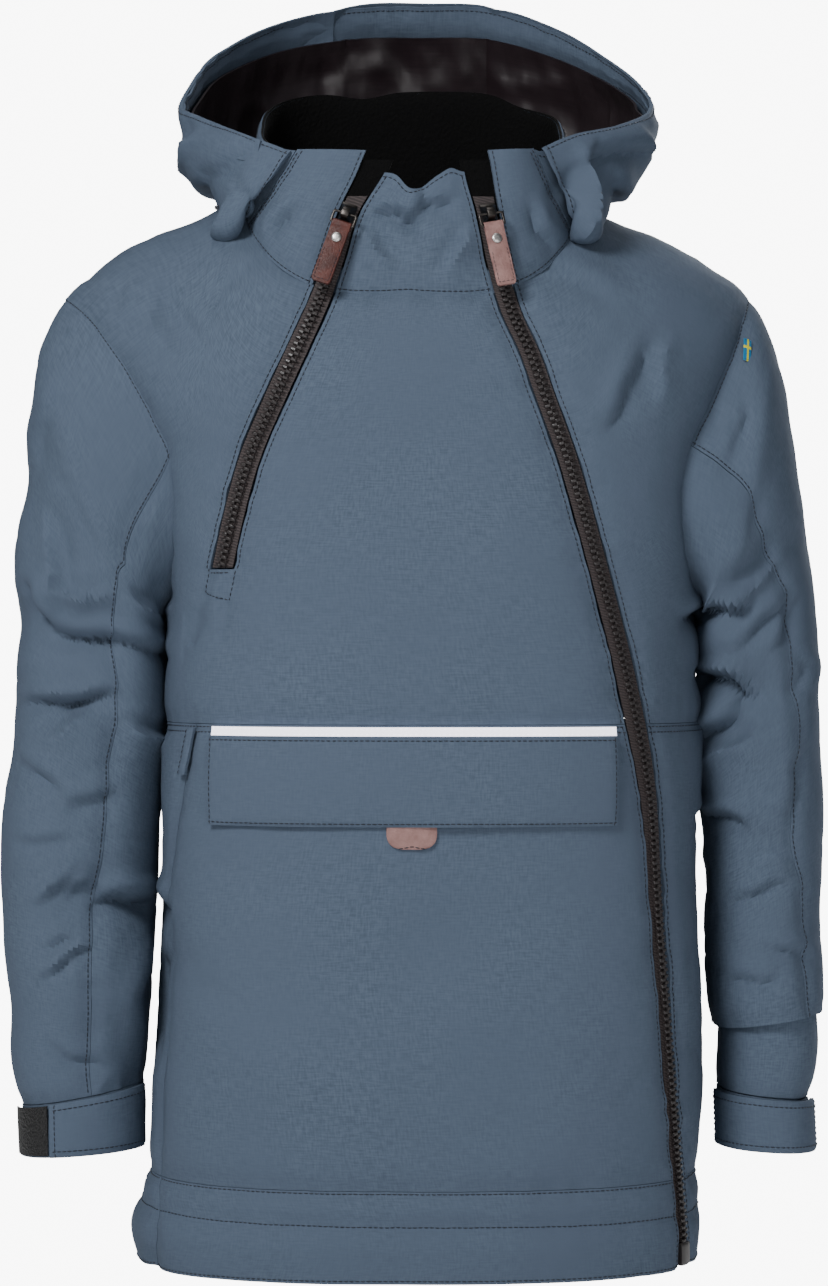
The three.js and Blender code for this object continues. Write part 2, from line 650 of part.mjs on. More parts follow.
function makeFrontUpper() {
  const front = -1;
  const lineOf = (lineX, inset) => upLine(front, (z) => lineX(z) + inset, zipStops(lineX));
  const slotTop = between(neckSpot(front, footAngle(shortLeft)), neckSpot(front, footAngle(shortRight)));
  const centre = neckPart(front, footAngle(shortRight), footAngle(longLeft));
  const parts = [
    shoulderPart(front, "left", lineOf(shortLeft, -half), footAngle(shortLeft)),
    upperPart(1, lineOf(shortLeft, -half), lineOf(shortRight, half), slotTop),
    upperPart(centre.columns, lineOf(shortRight, half), lineOf(longLeft, -half), centre.top),
  ];
  const { columns, at } = patchRow(parts);
  const slot = parts[0].columns;
  const open = (i, j) => i === slot && j >= ZIP_END_SHARE * UPPER_ROWS - 1e-6;
  const geometry = wall(body, { columns, rows: UPPER_ROWS, at, to: PADDED, open });
  addPiece("front_main_upper", geometry, MATERIALS.shell);

  const side = shoulderPart(front, "right", lineOf(longRight, half), footAngle(longRight));
  const sideWall = wall(body, { columns: side.columns, rows: UPPER_ROWS, at: side.at, to: PADDED });
  addPiece("front_side_upper", sideWall, MATERIALS.shell);
}

function makeBackUpper() {
  const back = 1;
  const right = upLine(back, armholeX("right", ARMHOLE_INSET.right), armStops("right"));
  const left = upLine(back, armholeX("left", ARMHOLE_INSET.left), armStops("left"));
  const neckColumns = 12;
  const columns = neckColumns + 2 * SHOULDER_COLUMNS;
  const rightTip = armholeX("right", ARMHOLE_INSET.right)(tipZ("right"));
  const leftTip = armholeX("left", ARMHOLE_INSET.left)(tipZ("left"));
  const top = (s) => {
    const place = s * columns;
    if (place <= SHOULDER_COLUMNS) {
      return onShoulder(back, mix(rightTip, NECK_RIGHT_X, place / SHOULDER_COLUMNS));
    }
    if (place >= columns - SHOULDER_COLUMNS) {
      return onShoulder(back, mix(leftTip, NECK_LEFT_X, (columns - place) / SHOULDER_COLUMNS));
    }
    return neckSpot(back, (Math.PI * (place - SHOULDER_COLUMNS)) / neckColumns);
  };
  const part = upperPart(columns, right, left, top);
  const geometry = wall(body, { columns, rows: UPPER_ROWS, at: part.at, to: PADDED });
  addPiece("back_upper", geometry, MATERIALS.shell);
}

// A band of the lower body between two lines, each an angle at a height
const heightPlace = (z) => (z - SHOULDER_ROUND_FROM_Z) / RISE_SCALE;
const angleAt = (lineX, shift) => (z) => bodyPlace(-1, lineX(z) + shift, z)[0];
function addBand(name, { from, to, bottom, top, columns, rows, finish = MATERIALS.shell }) {
  const at = (s, t) => {
    const z = mix(bottom, top, t);
    return [mix(from(z), to(z), s), heightPlace(z)];
  };
  addPiece(name, wall(body, { columns, rows, at, to: PADDED }), finish);
}

const leftSeamX = (z) => read(LEFT_SIDE_SEAM, "z", "x", z);

function makeLowerBody() {
  const spans = [
    { part: "", bottom: HEM_SEAM_Z + half, top: CHEST_SEAM_Z - half, rows: LOWER_ROWS },
    { part: "hem_", bottom: HEM_BOTTOM_Z, top: HEM_SEAM_Z - half, rows: 2 },
  ];
  for (const { part, bottom, top, rows } of spans) {
    const name = (piece) => (part ? part + piece : `${piece}_lower`);
    const span = { bottom, top, rows };
    addBand(name("front_main"), {
      ...span, columns: 11, from: angleAt(leftSeamX, half), to: angleAt(longLeft, -half),
    });
    addBand(name("front_side"), {
      ...span, columns: 3, from: angleAt(longRight, half), to: () => -SIDE_GAP,
    });
    const around = angleAt(leftSeamX, -half);
    addBand(name("back"), { ...span, columns: 18, from: () => SIDE_GAP, to: (z) => 2 * Math.PI + around(z) });
  }
}

// Trim that lies on the front, from the points under it moved out
function addFrontTrim(name, { left, right, bottom, top, thick, columns, rows, finish, lift = OVERLAY_LIFT }) {
  const at = (s, t) => {
    const z = mix(bottom, top, t);
    return bodyPlace(-1, mix(left, right, s), z);
  };
  const geometry = wall(body, { columns, rows, at, from: -lift - thick, to: -lift });
  addPiece(name, geometry, finish);
}

function makeFrontTrim() {
  const lift = OVERLAY_LIFT;
  addFrontTrim("reflective_strip", { ...STRIP, columns: 10, rows: 1, finish: MATERIALS.reflective });
  addFrontTrim("pocket_flap", { ...FLAP, columns: 10, rows: 3, finish: MATERIALS.shell, lift: lift + 2.6 });
  addFrontTrim("pocket_pull_tab", { ...PULL_TAB, columns: 2, rows: 1, finish: MATERIALS.leatherPale });
  const at = (s, t) => {
    const z = mix(WELT.bottom, WELT.top, t);
    return bodyPlace(-1, leftSeamX(z) + mix(-WELT.half, WELT.half, s), z);
  };
  const welt = wall(body, { columns: 1, rows: 2, at, from: -lift - WELT.thick, to: -lift });
  addPiece("pocket_welt_left", welt, MATERIALS.shell);
}

// Pieces round the collar, each between two angles at a height share
const seamAngle = (side) => (share) => read(COLLAR_SEAMS, "share", side, share) * DEGREE;
function addCollarPiece(name, { from, to, top = () => 1, columns, rows, depth, thick, finish, foot = 0 }) {
  const at = (s, t) => {
    const share = mix(foot, top(s), t);
    return [mix(from(share), to(share), s), share];
  };
  const geometry = wall(collar, { columns, rows, at, from: depth, to: depth + thick });
  addPiece(name, geometry, finish);
}

function makeCollar() {
  const outside = { depth: 0, thick: COLLAR_CLOTH, finish: MATERIALS.shell, rows: 4 };
  const gap = 0.004;
  const line = (lineX, shift) => (share) => collarAngle(lineX, share) + shift;
  addCollarPiece("collar_left", {
    ...outside, columns: 3, from: (k) => seamAngle("left")(k) + gap, to: line(shortLeft, -gap),
  });
  addCollarPiece("collar_right", {
    ...outside, columns: 3, from: line(longRight, gap), to: (k) => seamAngle("right")(k) - gap,
  });
  const dip = (s) => 0.84 - 0.07 * Math.sin(Math.PI * s);
  addCollarPiece("collar_centre", {
    ...outside, columns: 4, from: line(shortRight, gap), to: line(longLeft, -gap), top: dip,
  });
  const left = (k) => seamAngle("left")(k) + 2 * Math.PI - gap;
  const right = (k) => seamAngle("right")(k) + gap;
  addCollarPiece("collar_back", { ...outside, columns: 18, from: right, to: left });
  addCollarPiece("collar_fleece", {
    columns: 18, rows: 3, from: right, to: left, foot: 0.1, top: () => 0.985,
    depth: COLLAR_CLOTH + OVERLAY_LIFT, thick: LINING_CLOTH, finish: MATERIALS.fleece,
  });
  const guards = [
    { name: "zip_guard_left", zip: SHORT_ZIP },
    { name: "zip_guard_right", zip: LONG_ZIP },
  ];
  for (const { name, zip } of guards) {
    addCollarPiece(name, {
      columns: 2, rows: 3, foot: 0.5, top: () => 0.93, depth: COLLAR_CLOTH + SEAM_GAP,
      thick: LINING_CLOTH, finish: MATERIALS.fleece,
      from: line(zipLine(zip, -1.25), 0), to: line(zipLine(zip, 1.25), 0),
    });
  }
}

// The hood, over a share of its ribs and a share from its rim to its foot
function hoodRib(k, share) {
  const rib = HOOD_RIBS[k];
  const [angle, height] = rib.foot;
  const foot = collar(angle * DEGREE, height, -HOOD_CLEARANCE);
  const rim = vector(rib.rim);
  const full = vector(rib.full);
  return rim.multiplyScalar((1 - share) ** 2)
    .addScaledVector(full, 2 * share * (1 - share))
    .addScaledVector(foot, share ** 2);
}
const hoodPoint = (round, share) => through(HOOD_RIBS.map((rib, k) => hoodRib(k, share)), round);
const hood = surface(hoodPoint);

// Hood places that the shell and what lines it share, so that their facets stay parallel
const HOOD_COLUMNS = { side: 12, centre: 4 };
const HOOD_SHARES = [0, RIM_BAND_SHARE, 0.3, 0.48, 0.66, 0.84, 1];
const hoodStops = [
  [0, 0],
  [HOOD_COLUMNS.side, HOOD_PANEL_SEAMS[0]],
  [HOOD_COLUMNS.side + HOOD_COLUMNS.centre, HOOD_PANEL_SEAMS[1]],
  [2 * HOOD_COLUMNS.side + HOOD_COLUMNS.centre, 1],
];

// A piece of the hood from one shared column and row to others
function addHoodPiece(name, { columns, rows, depth, thick, finish, trim = 0 }) {
  const [firstColumn, lastColumn] = columns;
  const [firstRow, lastRow] = rows;
  const wide = lastColumn - firstColumn;
  const at = (s, t) => {
    const round = steps(hoodStops, firstColumn + s * wide);
    const row = firstRow + t * (lastRow - firstRow);
    const share = steps(HOOD_SHARES.map((value, k) => [k, value]), row);
    return [round + trim * (1 - 2 * s), share + (t === 0 ? trim : 0)];
  };
  const geometry = wall(hood, { columns: wide, rows: lastRow - firstRow, at, from: depth, to: depth + thick });
  addPiece(name, geometry, finish);
}

function makeHood() {
  const shell = { rows: [0, 6], depth: 0, thick: HOOD_CLOTH, finish: MATERIALS.shell, trim: 0.0008 };
  const [first, second, last] = [hoodStops[1][0], hoodStops[2][0], hoodStops[3][0]];
  addHoodPiece("hood_side_left", { ...shell, columns: [0, first] });
  addHoodPiece("hood_centre", { ...shell, columns: [first, second] });
  addHoodPiece("hood_side_right", { ...shell, columns: [second, last] });
  const inside = { depth: HOOD_CLOTH + OVERLAY_LIFT, thick: LINING_CLOTH, trim: 0.004 };
  addHoodPiece("hood_rim_band", {
    ...inside, columns: [1, last - 1], rows: [0, 1], finish: MATERIALS.shell,
  });
  addHoodPiece("hood_lining", {
    ...inside, columns: [2, last - 2], rows: [1, 5], finish: MATERIALS.lining,
  });
}

// A sleeve's surface over an angle round it, 0 at its outer side, and a place down its sections
const SLEEVE_SQUARENESS = 2.3;
const ringPoint = (row, angle) => {
  const [out, deep] = squircle(angle, SLEEVE_SQUARENESS);
  const x = mix(row.inner[0], row.outer[0], (1 + out) / 2);
  const z = mix(row.inner[1], row.outer[1], (1 + out) / 2);
  return new THREE.Vector3(x, row.y + row.depth * deep, z);
};

function armholeSpot(side, angle) {
  const [out] = squircle(angle, SLEEVE_SQUARENESS);
  const z = mix(ARMPIT_Z, tipZ(side), (1 + out) / 2);
  return bodyPlace(Math.sin(angle) < 0 ? -1 : 1, armholeX(side)(z), z);
}

function sleeveSurface(side, rows, startsAtBody, folded = true) {
  const point = (angle, place) => {
    const ring = rows.map((row) => ringPoint(row, angle));
    if (startsAtBody) ring.unshift(bodyPoint(...armholeSpot(side, angle)));
    return through(ring, place / (ring.length - 1));
  };
  const normal = (u, v, own) => {
    const mine = own(u, v);
    if (!startsAtBody || v >= 1) return mine;
    const across = body(...armholeSpot(side, u), -1).sub(body(...armholeSpot(side, u), 0));
    return across.multiplyScalar(1 - v).addScaledVector(mine, v).normalize();
  };
  return surface(point, { out: side === "left" ? 1 : -1, folded, normal });
}

function addTube(name, cloth, { from, to, start, end, columns, rows, finish, depth = 0, thick = PADDED }) {
  const at = (s, t) => {
    const place = mix(start, end, t);
    return [mix(from(place), to(place), s), place];
  };
  addPiece(name, wall(cloth, { columns, rows, at, from: depth, to: depth + thick }), finish);
}

function makeSleeve(side, rows, backSeam, bodySeam) {
  const cloth = sleeveSurface(side, rows, true);
  const frontSeam = (place) => {
    if (place < 1) return mix(bodySeam, rows[0].seam, place) * DEGREE;
    const k = Math.min(place - 1, rows.length - 1);
    const low = Math.floor(k);
    const high = Math.min(rows.length - 1, low + 1);
    return mix(rows[low].seam, rows[high].seam, k - low) * DEGREE;
  };
  const gap = 0.0028;
  const common = { start: 0.016, end: rows.length, rows: rows.length * 2 - 1, finish: MATERIALS.shell };
  const back = backSeam * DEGREE;
  addTube(`sleeve_${side}_outer`, cloth, {
    ...common, columns: 9, from: (k) => gap - frontSeam(k), to: () => back - gap,
  });
  addTube(`sleeve_${side}_under`, cloth, {
    ...common, columns: 7, from: () => back + gap, to: (k) => 2 * Math.PI - frontSeam(k) - gap,
  });
}

function makeCuffs() {
  const cuffs = [
    { side: "left", rows: CUFF_LEFT, strap: [-165, -66], columns: 6 },
    { side: "right", rows: CUFF_RIGHT, strap: [-170, -12], columns: 8 },
  ];
  for (const { side, rows, strap, columns } of cuffs) {
    const cloth = sleeveSurface(side, rows, false, false);
    const at = (s, t) => [2 * Math.PI * s, t];
    const ring = wall(cloth, { columns: 16, rows: 2, at, to: PADDED, closed: true });
    addPiece(`cuff_${side}`, ring, MATERIALS.shell);
    addTube(`cuff_strap_${side}`, cloth, {
      from: () => strap[0] * DEGREE, to: () => strap[1] * DEGREE, start: 0.03, end: 1,
      columns, rows: 1, finish: MATERIALS.shell, depth: -OVERLAY_LIFT - 2.4, thick: 2.4,
    });
    if (side === "left") {
      addTube("cuff_hook_patch", cloth, {
        from: () => -64 * DEGREE, to: () => -14 * DEGREE, start: 0.06, end: 0.94,
        columns: 3, rows: 1, finish: MATERIALS.hook, depth: -OVERLAY_LIFT - 1, thick: 1,
      });
    }
  }
  const lower = sleeveSurface("right", SLEEVE_RIGHT_LOWER, false, false);
  const at = (s, t) => [2 * Math.PI * s, 2 * t];
  const ring = wall(lower, { columns: 16, rows: 3, at, to: PADDED, closed: true });
  addPiece("sleeve_right_lower", ring, MATERIALS.shell);
}

// A zip's strip, at the height shares and cross shares of its tape, over the body and then the collar
function addZipStrip(name, zip, { bottom, top, rows, left, right, depth, thick, finish }) {
  const collarBottom = neckZ(collarAngle(zipLine(zip, 0), 0));
  const cloth = (s, t, deep) => {
    const z = steps(rows, t);
    if (z < collarBottom) {
      const x = mix(zipLine(zip, left)(z), zipLine(zip, right)(z), s);
      return body(...bodyPlace(-1, x, Math.max(bottom, z)), deep);
    }
    const lineX = zipLine(zip, mix(left, right, s));
    const share = collarShare(lineX, Math.min(top, z));
    return collar(collarAngle(lineX, share), share, deep);
  };
  const count = Math.round(rows[rows.length - 1][0]);
  const geometry = wall(cloth, {
    columns: 1, rows: count, at: (s, t) => [s, t * count], from: depth, to: depth + thick,
  });
  addPiece(name, geometry, finish);
}

function makeZips() {
  const neck = (zip) => neckZ(collarAngle(zipLine(zip, 0), 0));
  const zips = [
    {
      name: "short_zip", zip: SHORT_ZIP, bottom: SHORT_ZIP_END_Z + 1, tapeTop: 20,
      rows: [[0, SHORT_ZIP_END_Z + 1], [8, neck(SHORT_ZIP) - 0.5]],
    },
    {
      name: "long_zip", zip: LONG_ZIP, bottom: HEM_BOTTOM_Z + 2, tapeTop: 20,
      rows: [
        [0, HEM_BOTTOM_Z + 2], [2, HEM_SEAM_Z], [12, CHEST_SEAM_Z],
        [12 + ZIP_END_SHARE * UPPER_ROWS, SHORT_ZIP_END_Z], [24, neck(LONG_ZIP) - 0.5],
      ],
    },
  ];
  for (const { name, zip, bottom, tapeTop, rows } of zips) {
    const last = rows[rows.length - 1];
    const inCollar = (top) => [...rows, [last[0] + 1, last[1] + 1.4], [last[0] + 3, top]];
    addZipStrip(`${name}_tape`, zip, {
      bottom, top: tapeTop, rows: inCollar(tapeTop), left: -0.84, right: 0.84,
      depth: TAPE.top, thick: TAPE.thick, finish: MATERIALS.tape,
    });
    const chainRows = inCollar(ZIP_TOP_Z - SLIDER.length / 2 - 1);
    if (name === "long_zip") chainRows[0] = [0, ZIP_BOX.top + 1];
    addZipStrip(`${name}_chain`, zip, {
      bottom, top: ZIP_TOP_Z, rows: chainRows, left: -0.56, right: 0.56,
      depth: -CHAIN.proud, thick: CHAIN.proud + CHAIN.deep, finish: MATERIALS.teeth,
    });
  }
  addZipStrip("long_zip_box", LONG_ZIP, {
    bottom: ZIP_BOX.bottom, top: ZIP_BOX.top, rows: [[0, ZIP_BOX.bottom], [1, ZIP_BOX.top]],
    left: -0.8, right: 0.8, depth: -ZIP_BOX.proud, thick: ZIP_BOX.proud + CHAIN.deep,
    finish: MATERIALS.teeth,
  });
}

// The slider and the pull at the top of each zip, in axes across, out and down the zip
function zipAxes(zip) {
  const spot = (z, depth) => {
    const share = collarShare(zipLine(zip, 0), z);
    return collar(collarAngle(zipLine(zip, 0), share), share, depth);
  };
  const middle = spot(ZIP_TOP_Z, 0);
  const outward = spot(ZIP_TOP_Z, -1).sub(middle);
  const down = spot(ZIP_TOP_Z - 12, 0).sub(middle).normalize();
  const across = new THREE.Vector3().crossVectors(down, outward).normalize();
  const out = new THREE.Vector3().crossVectors(across, down).normalize();
  return { middle, across, out, down };
}

function profileSolid(outline, hole, halfWidth) {
  const shape = new THREE.Shape(outline.map(([x, y]) => new THREE.Vector2(x, y)));
  if (hole) {
    const [x, y, radius] = hole;
    const around = Array.from({ length: EYE_SIDES }, (_, k) => (-2 * Math.PI * k) / EYE_SIDES);
    shape.holes.push(new THREE.Path(around.map((angle) =>
      new THREE.Vector2(x + radius * Math.cos(angle), y + radius * Math.sin(angle)))));
  }
  const solid = new THREE.ExtrudeGeometry(shape, {
    depth: 2 * halfWidth, bevelEnabled: false,
  });
  solid.translate(0, 0, -halfWidth);
  return solid;
}

function makePulls() {
  const pulls = [
    { name: "short_zip", zip: SHORT_ZIP, leather: MATERIALS.leatherDark },
    { name: "long_zip", zip: LONG_ZIP, leather: MATERIALS.leatherPale },
  ];
  for (const { name, zip, leather } of pulls) {
    const { middle, across, out, down } = zipAxes(zip);
    // Profiles are drawn with x down the zip and y out from the cloth, and are as wide as their piece
    const placed = (geometry, lean = 0) => {
      const turn = lean * DEGREE;
      const x = down.clone().multiplyScalar(Math.cos(turn)).addScaledVector(out, Math.sin(turn));
      const y = out.clone().multiplyScalar(Math.cos(turn)).addScaledVector(down, -Math.sin(turn));
      const eye = middle.clone().addScaledVector(out, SLIDER.rise);
      return geometry.applyMatrix4(new THREE.Matrix4().makeBasis(x, y, across).setPosition(eye));
    };
    const s = SLIDER;
    const low = -s.rise + s.lift;
    const plateTop = low + s.plate;
    const sliderOutline = [
      [s.length / 2, low], [s.length / 2, plateTop - 0.8], [4.6, plateTop], [2.8, 1.6], [1.4, 2.9],
      [-1.4, 2.9], [-3.4, 1.6], [-5.6, plateTop], [-s.length / 2, plateTop - 0.8], [-s.length / 2, low],
    ];
    addPiece(`${name}_slider`, placed(profileSolid(sliderOutline, [0, 0, s.eye], s.half)), MATERIALS.metal);

    const w = LINK.wire / 2;
    const ring = new THREE.Shape([
      [-w, -LINK.half - LINK.wire], [LINK.length + w, -LINK.half - LINK.wire],
      [LINK.length + w, LINK.half + LINK.wire], [-w, LINK.half + LINK.wire],
    ].map(([x, y]) => new THREE.Vector2(x, y)));
    ring.holes.push(new THREE.Path([
      [w, -LINK.half], [w, LINK.half], [LINK.length - w, LINK.half], [LINK.length - w, -LINK.half],
    ].map(([x, y]) => new THREE.Vector2(x, y))));
    const link = new THREE.ExtrudeGeometry(ring, { depth: LINK.wire, bevelEnabled: false });
    link.translate(0, 0, -w);
    link.rotateX(Math.PI / 2);
    addPiece(`${name}_link`, placed(link, PULL_LEAN), MATERIALS.metal);

    const l = LEATHER;
    const start = LINK.length;
    const thick = l.thick / 2;
    const leatherOutline = [
      [start - 1, -1.9], [start + 1.2, -1.9], [start + 3.4, -thick], [start + l.length, -thick],
      [start + l.length, thick], [start + 3.4, thick], [start + 1.2, 1.9], [start - 1, 1.9],
      [start - 1.9, 1], [start - 1.9, -1],
    ];
    const hole = [start, 0, LINK.wire * 0.72 + 0.1];
    addPiece(`${name}_leather`, placed(profileSolid(leatherOutline, hole, l.half), PULL_LEAN), leather);

    const rivet = new THREE.CylinderGeometry(RIVET.radius, RIVET.radius, RIVET.thick, 12);
    rivet.translate(start + RIVET.down, thick + SEAM_GAP + RIVET.thick / 2, 0);
    addPiece(`${name}_rivet`, placed(rivet, PULL_LEAN), MATERIALS.metal);
  }
}

// Small discs and plates that lie on a surface
function addOnSurface(name, geometry, cloth, u, v, lift, turn, finish) {
  const foot = cloth(u, v, -lift);
  const out = cloth(u, v, -lift - 1).sub(foot).normalize();
  const up = new THREE.Vector3(Math.sin(turn), 0, Math.cos(turn));
  const across = new THREE.Vector3().crossVectors(out, up).normalize();
  up.crossVectors(across, out).normalize();
  geometry.applyMatrix4(new THREE.Matrix4().makeBasis(across, out, up).setPosition(foot));
  addPiece(name, geometry, finish);
}

function makeSmallTrim() {
  const snaps = [
    { name: "hood_snap_left", round: 0.1, share: 0.72 },
    { name: "hood_snap_right", round: 0.9, share: 0.72 },
  ];
  for (const { name, round, share } of snaps) {
    const disc = new THREE.CylinderGeometry(SNAP.radius, SNAP.radius, SNAP.thick, 14);
    addOnSurface(name, disc, hood, round, share, SNAP.thick / 2 - 0.4 * SEAM_GAP, 0, MATERIALS.metal);
  }
  const sleeve = sleeveSurface("right", SLEEVE_RIGHT, true);
  const label = new THREE.BoxGeometry(FLAG.width, FLAG.thick, FLAG.length);
  addOnSurface("flag_label", label, sleeve, FLAG.angle * DEGREE, FLAG.place, FLAG.lift,
    FLAG.turn * DEGREE, MATERIALS.flag);
}

makeFrontUpper();
makeBackUpper();
makeLowerBody();
makeFrontTrim();
makeCollar();
makeHood();
makeSleeve("left", SLEEVE_LEFT, 108, 94);
makeSleeve("right", SLEEVE_RIGHT, 104, 90);
makeCuffs();
makeZips();
makePulls();
makeSmallTrim();

export default anorak;
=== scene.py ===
"""A child's padded anorak pullover as an add-on: cloth, trim, zips and a pale studio round it.

Sizes are in millimetres until a mesh is made; the shared frame is in metres.
"""

import math
from itertools import product

import bmesh
import bpy
import numpy as np
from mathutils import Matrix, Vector, kdtree


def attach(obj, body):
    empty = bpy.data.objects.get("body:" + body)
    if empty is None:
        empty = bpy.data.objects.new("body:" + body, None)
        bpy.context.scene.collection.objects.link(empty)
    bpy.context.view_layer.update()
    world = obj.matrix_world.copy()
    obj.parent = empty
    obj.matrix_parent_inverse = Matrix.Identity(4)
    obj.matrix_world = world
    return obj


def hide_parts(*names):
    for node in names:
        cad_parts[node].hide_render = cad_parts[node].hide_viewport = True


bl_info = {
    "name": "Padded anorak",
    "version": (1, 0, 0),
    "blender": (4, 5, 0),
    "location": "3D View > Sidebar > Anorak",
    "description": "Builds a child's padded anorak pullover with its zips, pulls and stitching",
    "category": "Add Mesh",
}

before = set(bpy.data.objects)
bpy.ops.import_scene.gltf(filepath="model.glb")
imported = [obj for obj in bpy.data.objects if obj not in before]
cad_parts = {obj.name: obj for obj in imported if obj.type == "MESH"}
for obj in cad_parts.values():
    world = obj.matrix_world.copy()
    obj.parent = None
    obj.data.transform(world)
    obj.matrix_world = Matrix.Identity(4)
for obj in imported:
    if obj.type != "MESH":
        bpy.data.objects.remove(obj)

MM = 0.001
DEGREE = math.pi / 180

# --- The garment's sizes -------------------------------------------------------------------------

PADDED = 4.0
COLLAR_CLOTH = 2.6
HOOD_CLOTH = 2.2
LINING_CLOTH = 1.4
SEAM_GAP = 0.3
# Stitched body trim: from a zip's edge, the hem casing's depth, and the short zip's stop (x, z)
ZIP_STITCH = 2.4
CASING_DEEP = 22.0
STOP_OUTLINE = ((-124, -202), (-126, -217), (-110.5, -221.5), (-106.5, -202))
STOP_CROSSING = ((-123.6, -205), (-107.5, -205))
OVERLAY_LIFT = 0.9

CHEST_SEAM_Z = -295.0
HEM_SEAM_Z = -569.0
HEM_BOTTOM_Z = -623.0
SHORT_ZIP_END_Z = -203.0
ZIP_TOP_Z = 8.0

BODY_SQUARENESS = 2.6
SHOULDER_SQUARENESS = 1.75
COLLAR_SQUARENESS = 3.2
SLEEVE_SQUARENESS = 2.3
SHOULDER_ROUND_FROM_Z = -110.0
RISE_SCALE = 100.0
SIDE_GAP = 0.0015
RIDGE_GAP = 0.0025


def table(*rows):
    return np.array(rows, float)


# Height, left, right, front, back of the body
BODY_SECTIONS = table(
    (-625, -168, 174, 131, 122),
    (-600, -173, 177, 132, 123),
    (-569, -163, 175, 130, 122),
    (-510, -161, 178, 130, 121),
    (-410, -156, 175, 129, 120),
    (-295, -152, 174, 127, 118),
    (-225, -151, 172, 124, 116),
    (-175, -160, 178, 122, 115),
    (-125, -174, 187, 119, 114),
    (-60, -219, 213, 116, 112),
    (0, -252, 240, 114, 108),
    (70, -262, 250, 112, 104),
)

# Distance from the middle and height of the shoulder line
SHOULDER_LINE = table(
    (0, 50), (60, 41), (106, 26), (131, 14), (153, 6), (176, -5), (193, -17), (212, -31), (240, -58)
)

# Height, left and right of the armholes
ARMHOLES = table(
    (-225, -151, 172),
    (-190, -148, 165),
    (-157, -147, 162),
    (-130, -149, 167),
    (-112, -157, 176),
    (-88, -170, 187),
    (-66, -184, 196),
    (-45, -201, 203),
    (-32, -216, 206),
)
ARMPIT_Z = -225.0
ARMHOLE_INSET = {"left": -1.2, "right": -1.2}

# Height, middle and half width of each zip's tape
SHORT_ZIP = table(
    (-203, -116, 7.6),
    (-162, -106, 7.6),
    (-133, -97, 7.8),
    (-103, -84, 8),
    (-73, -70, 8),
    (-43, -57, 7.6),
    (-19, -48.5, 7.2),
    (10, -39, 6.6),
    (34, -26, 8),
    (52, -19, 8),
)
LONG_ZIP = table(
    (-625, 164, 3.4),
    (-589, 162, 3.4),
    (-547, 158, 3.5),
    (-504, 154.5, 3.7),
    (-445, 149.5, 4.2),
    (-400, 146, 4.8),
    (-352, 143, 5.6),
    (-320, 138.5, 6.6),
    (-295, 133.5, 7),
    (-252, 123.7, 7),
    (-198, 109, 7),
    (-139, 92, 7),
    (-103, 79, 7),
    (-73, 68.6, 7),
    (-50, 58.5, 7),
    (-20, 50, 7),
    (10, 44, 7),
    (30, 39.5, 8),
    (52, 36, 8),
)
LEFT_SIDE_SEAM = table(
    (-625, -157), (-569, -154), (-480, -153), (-410, -150), (-350, -143), (-295, -132)
)

COLLAR_FOOT = (104.0, 97.0, 84.0)
COLLAR_TOP = (94.0, 91.0, 90.0)
COLLAR_MIDDLE_X = -2.0
COLLAR_EDGE = table((-95, 47), (-70, 52), (0, 74), (92, 108))
COLLAR_LIFT = 1.6
# The collar's foot is tucked this share of its height into the neck seam
COLLAR_TUCK = -0.045
COLLAR_SEAMS = table((0, -151, -31), (1, -131, -45))

# Rim point, fullest point, and the foot's angle and height share on the collar
HOOD_RIBS = table(
    (-77, -80, 50, -94, -80, 18, -150, 0.06),
    (-104, -58, 62, -123, -76, -34, -163, 0.12),
    (-135, -12, 79, -141, -14, 12, 176, 0.12),
    (-146, 15, 88, -146, 20, 26, 164, 0.14),
    (-142, 52, 107, -150, 64, 28, 150, 0.16),
    (-128, 95, 133, -146, 120, 34, 136, 0.18),
    (-91, 145, 161, -108, 194, 34, 121, 0.18),
    (-40, 167, 176, -50, 242, 34, 106, 0.18),
    (4, 172, 178, 2, 252, 34, 91, 0.18),
    (52, 165, 175, 58, 238, 34, 76, 0.18),
    (98, 138, 154, 112, 188, 34, 61, 0.18),
    (131, 98, 127, 148, 120, 34, 46, 0.18),
    (147, 50, 104, 154, 62, 28, 31, 0.16),
    (148, 4, 84, 151, 12, 24, 16, 0.14),
    (126, -36, 70, 139, -32, 8, 4, 0.12),
    (98, -63, 61, 117, -76, -32, -17, 0.12),
    (80, -80, 52, 96, -80, 18, -32, 0.06),
)
HOOD_PANEL_SEAMS = (0.42, 0.565)
HOOD_CLEARANCE = 3.0
RIM_BAND_SHARE = 0.09

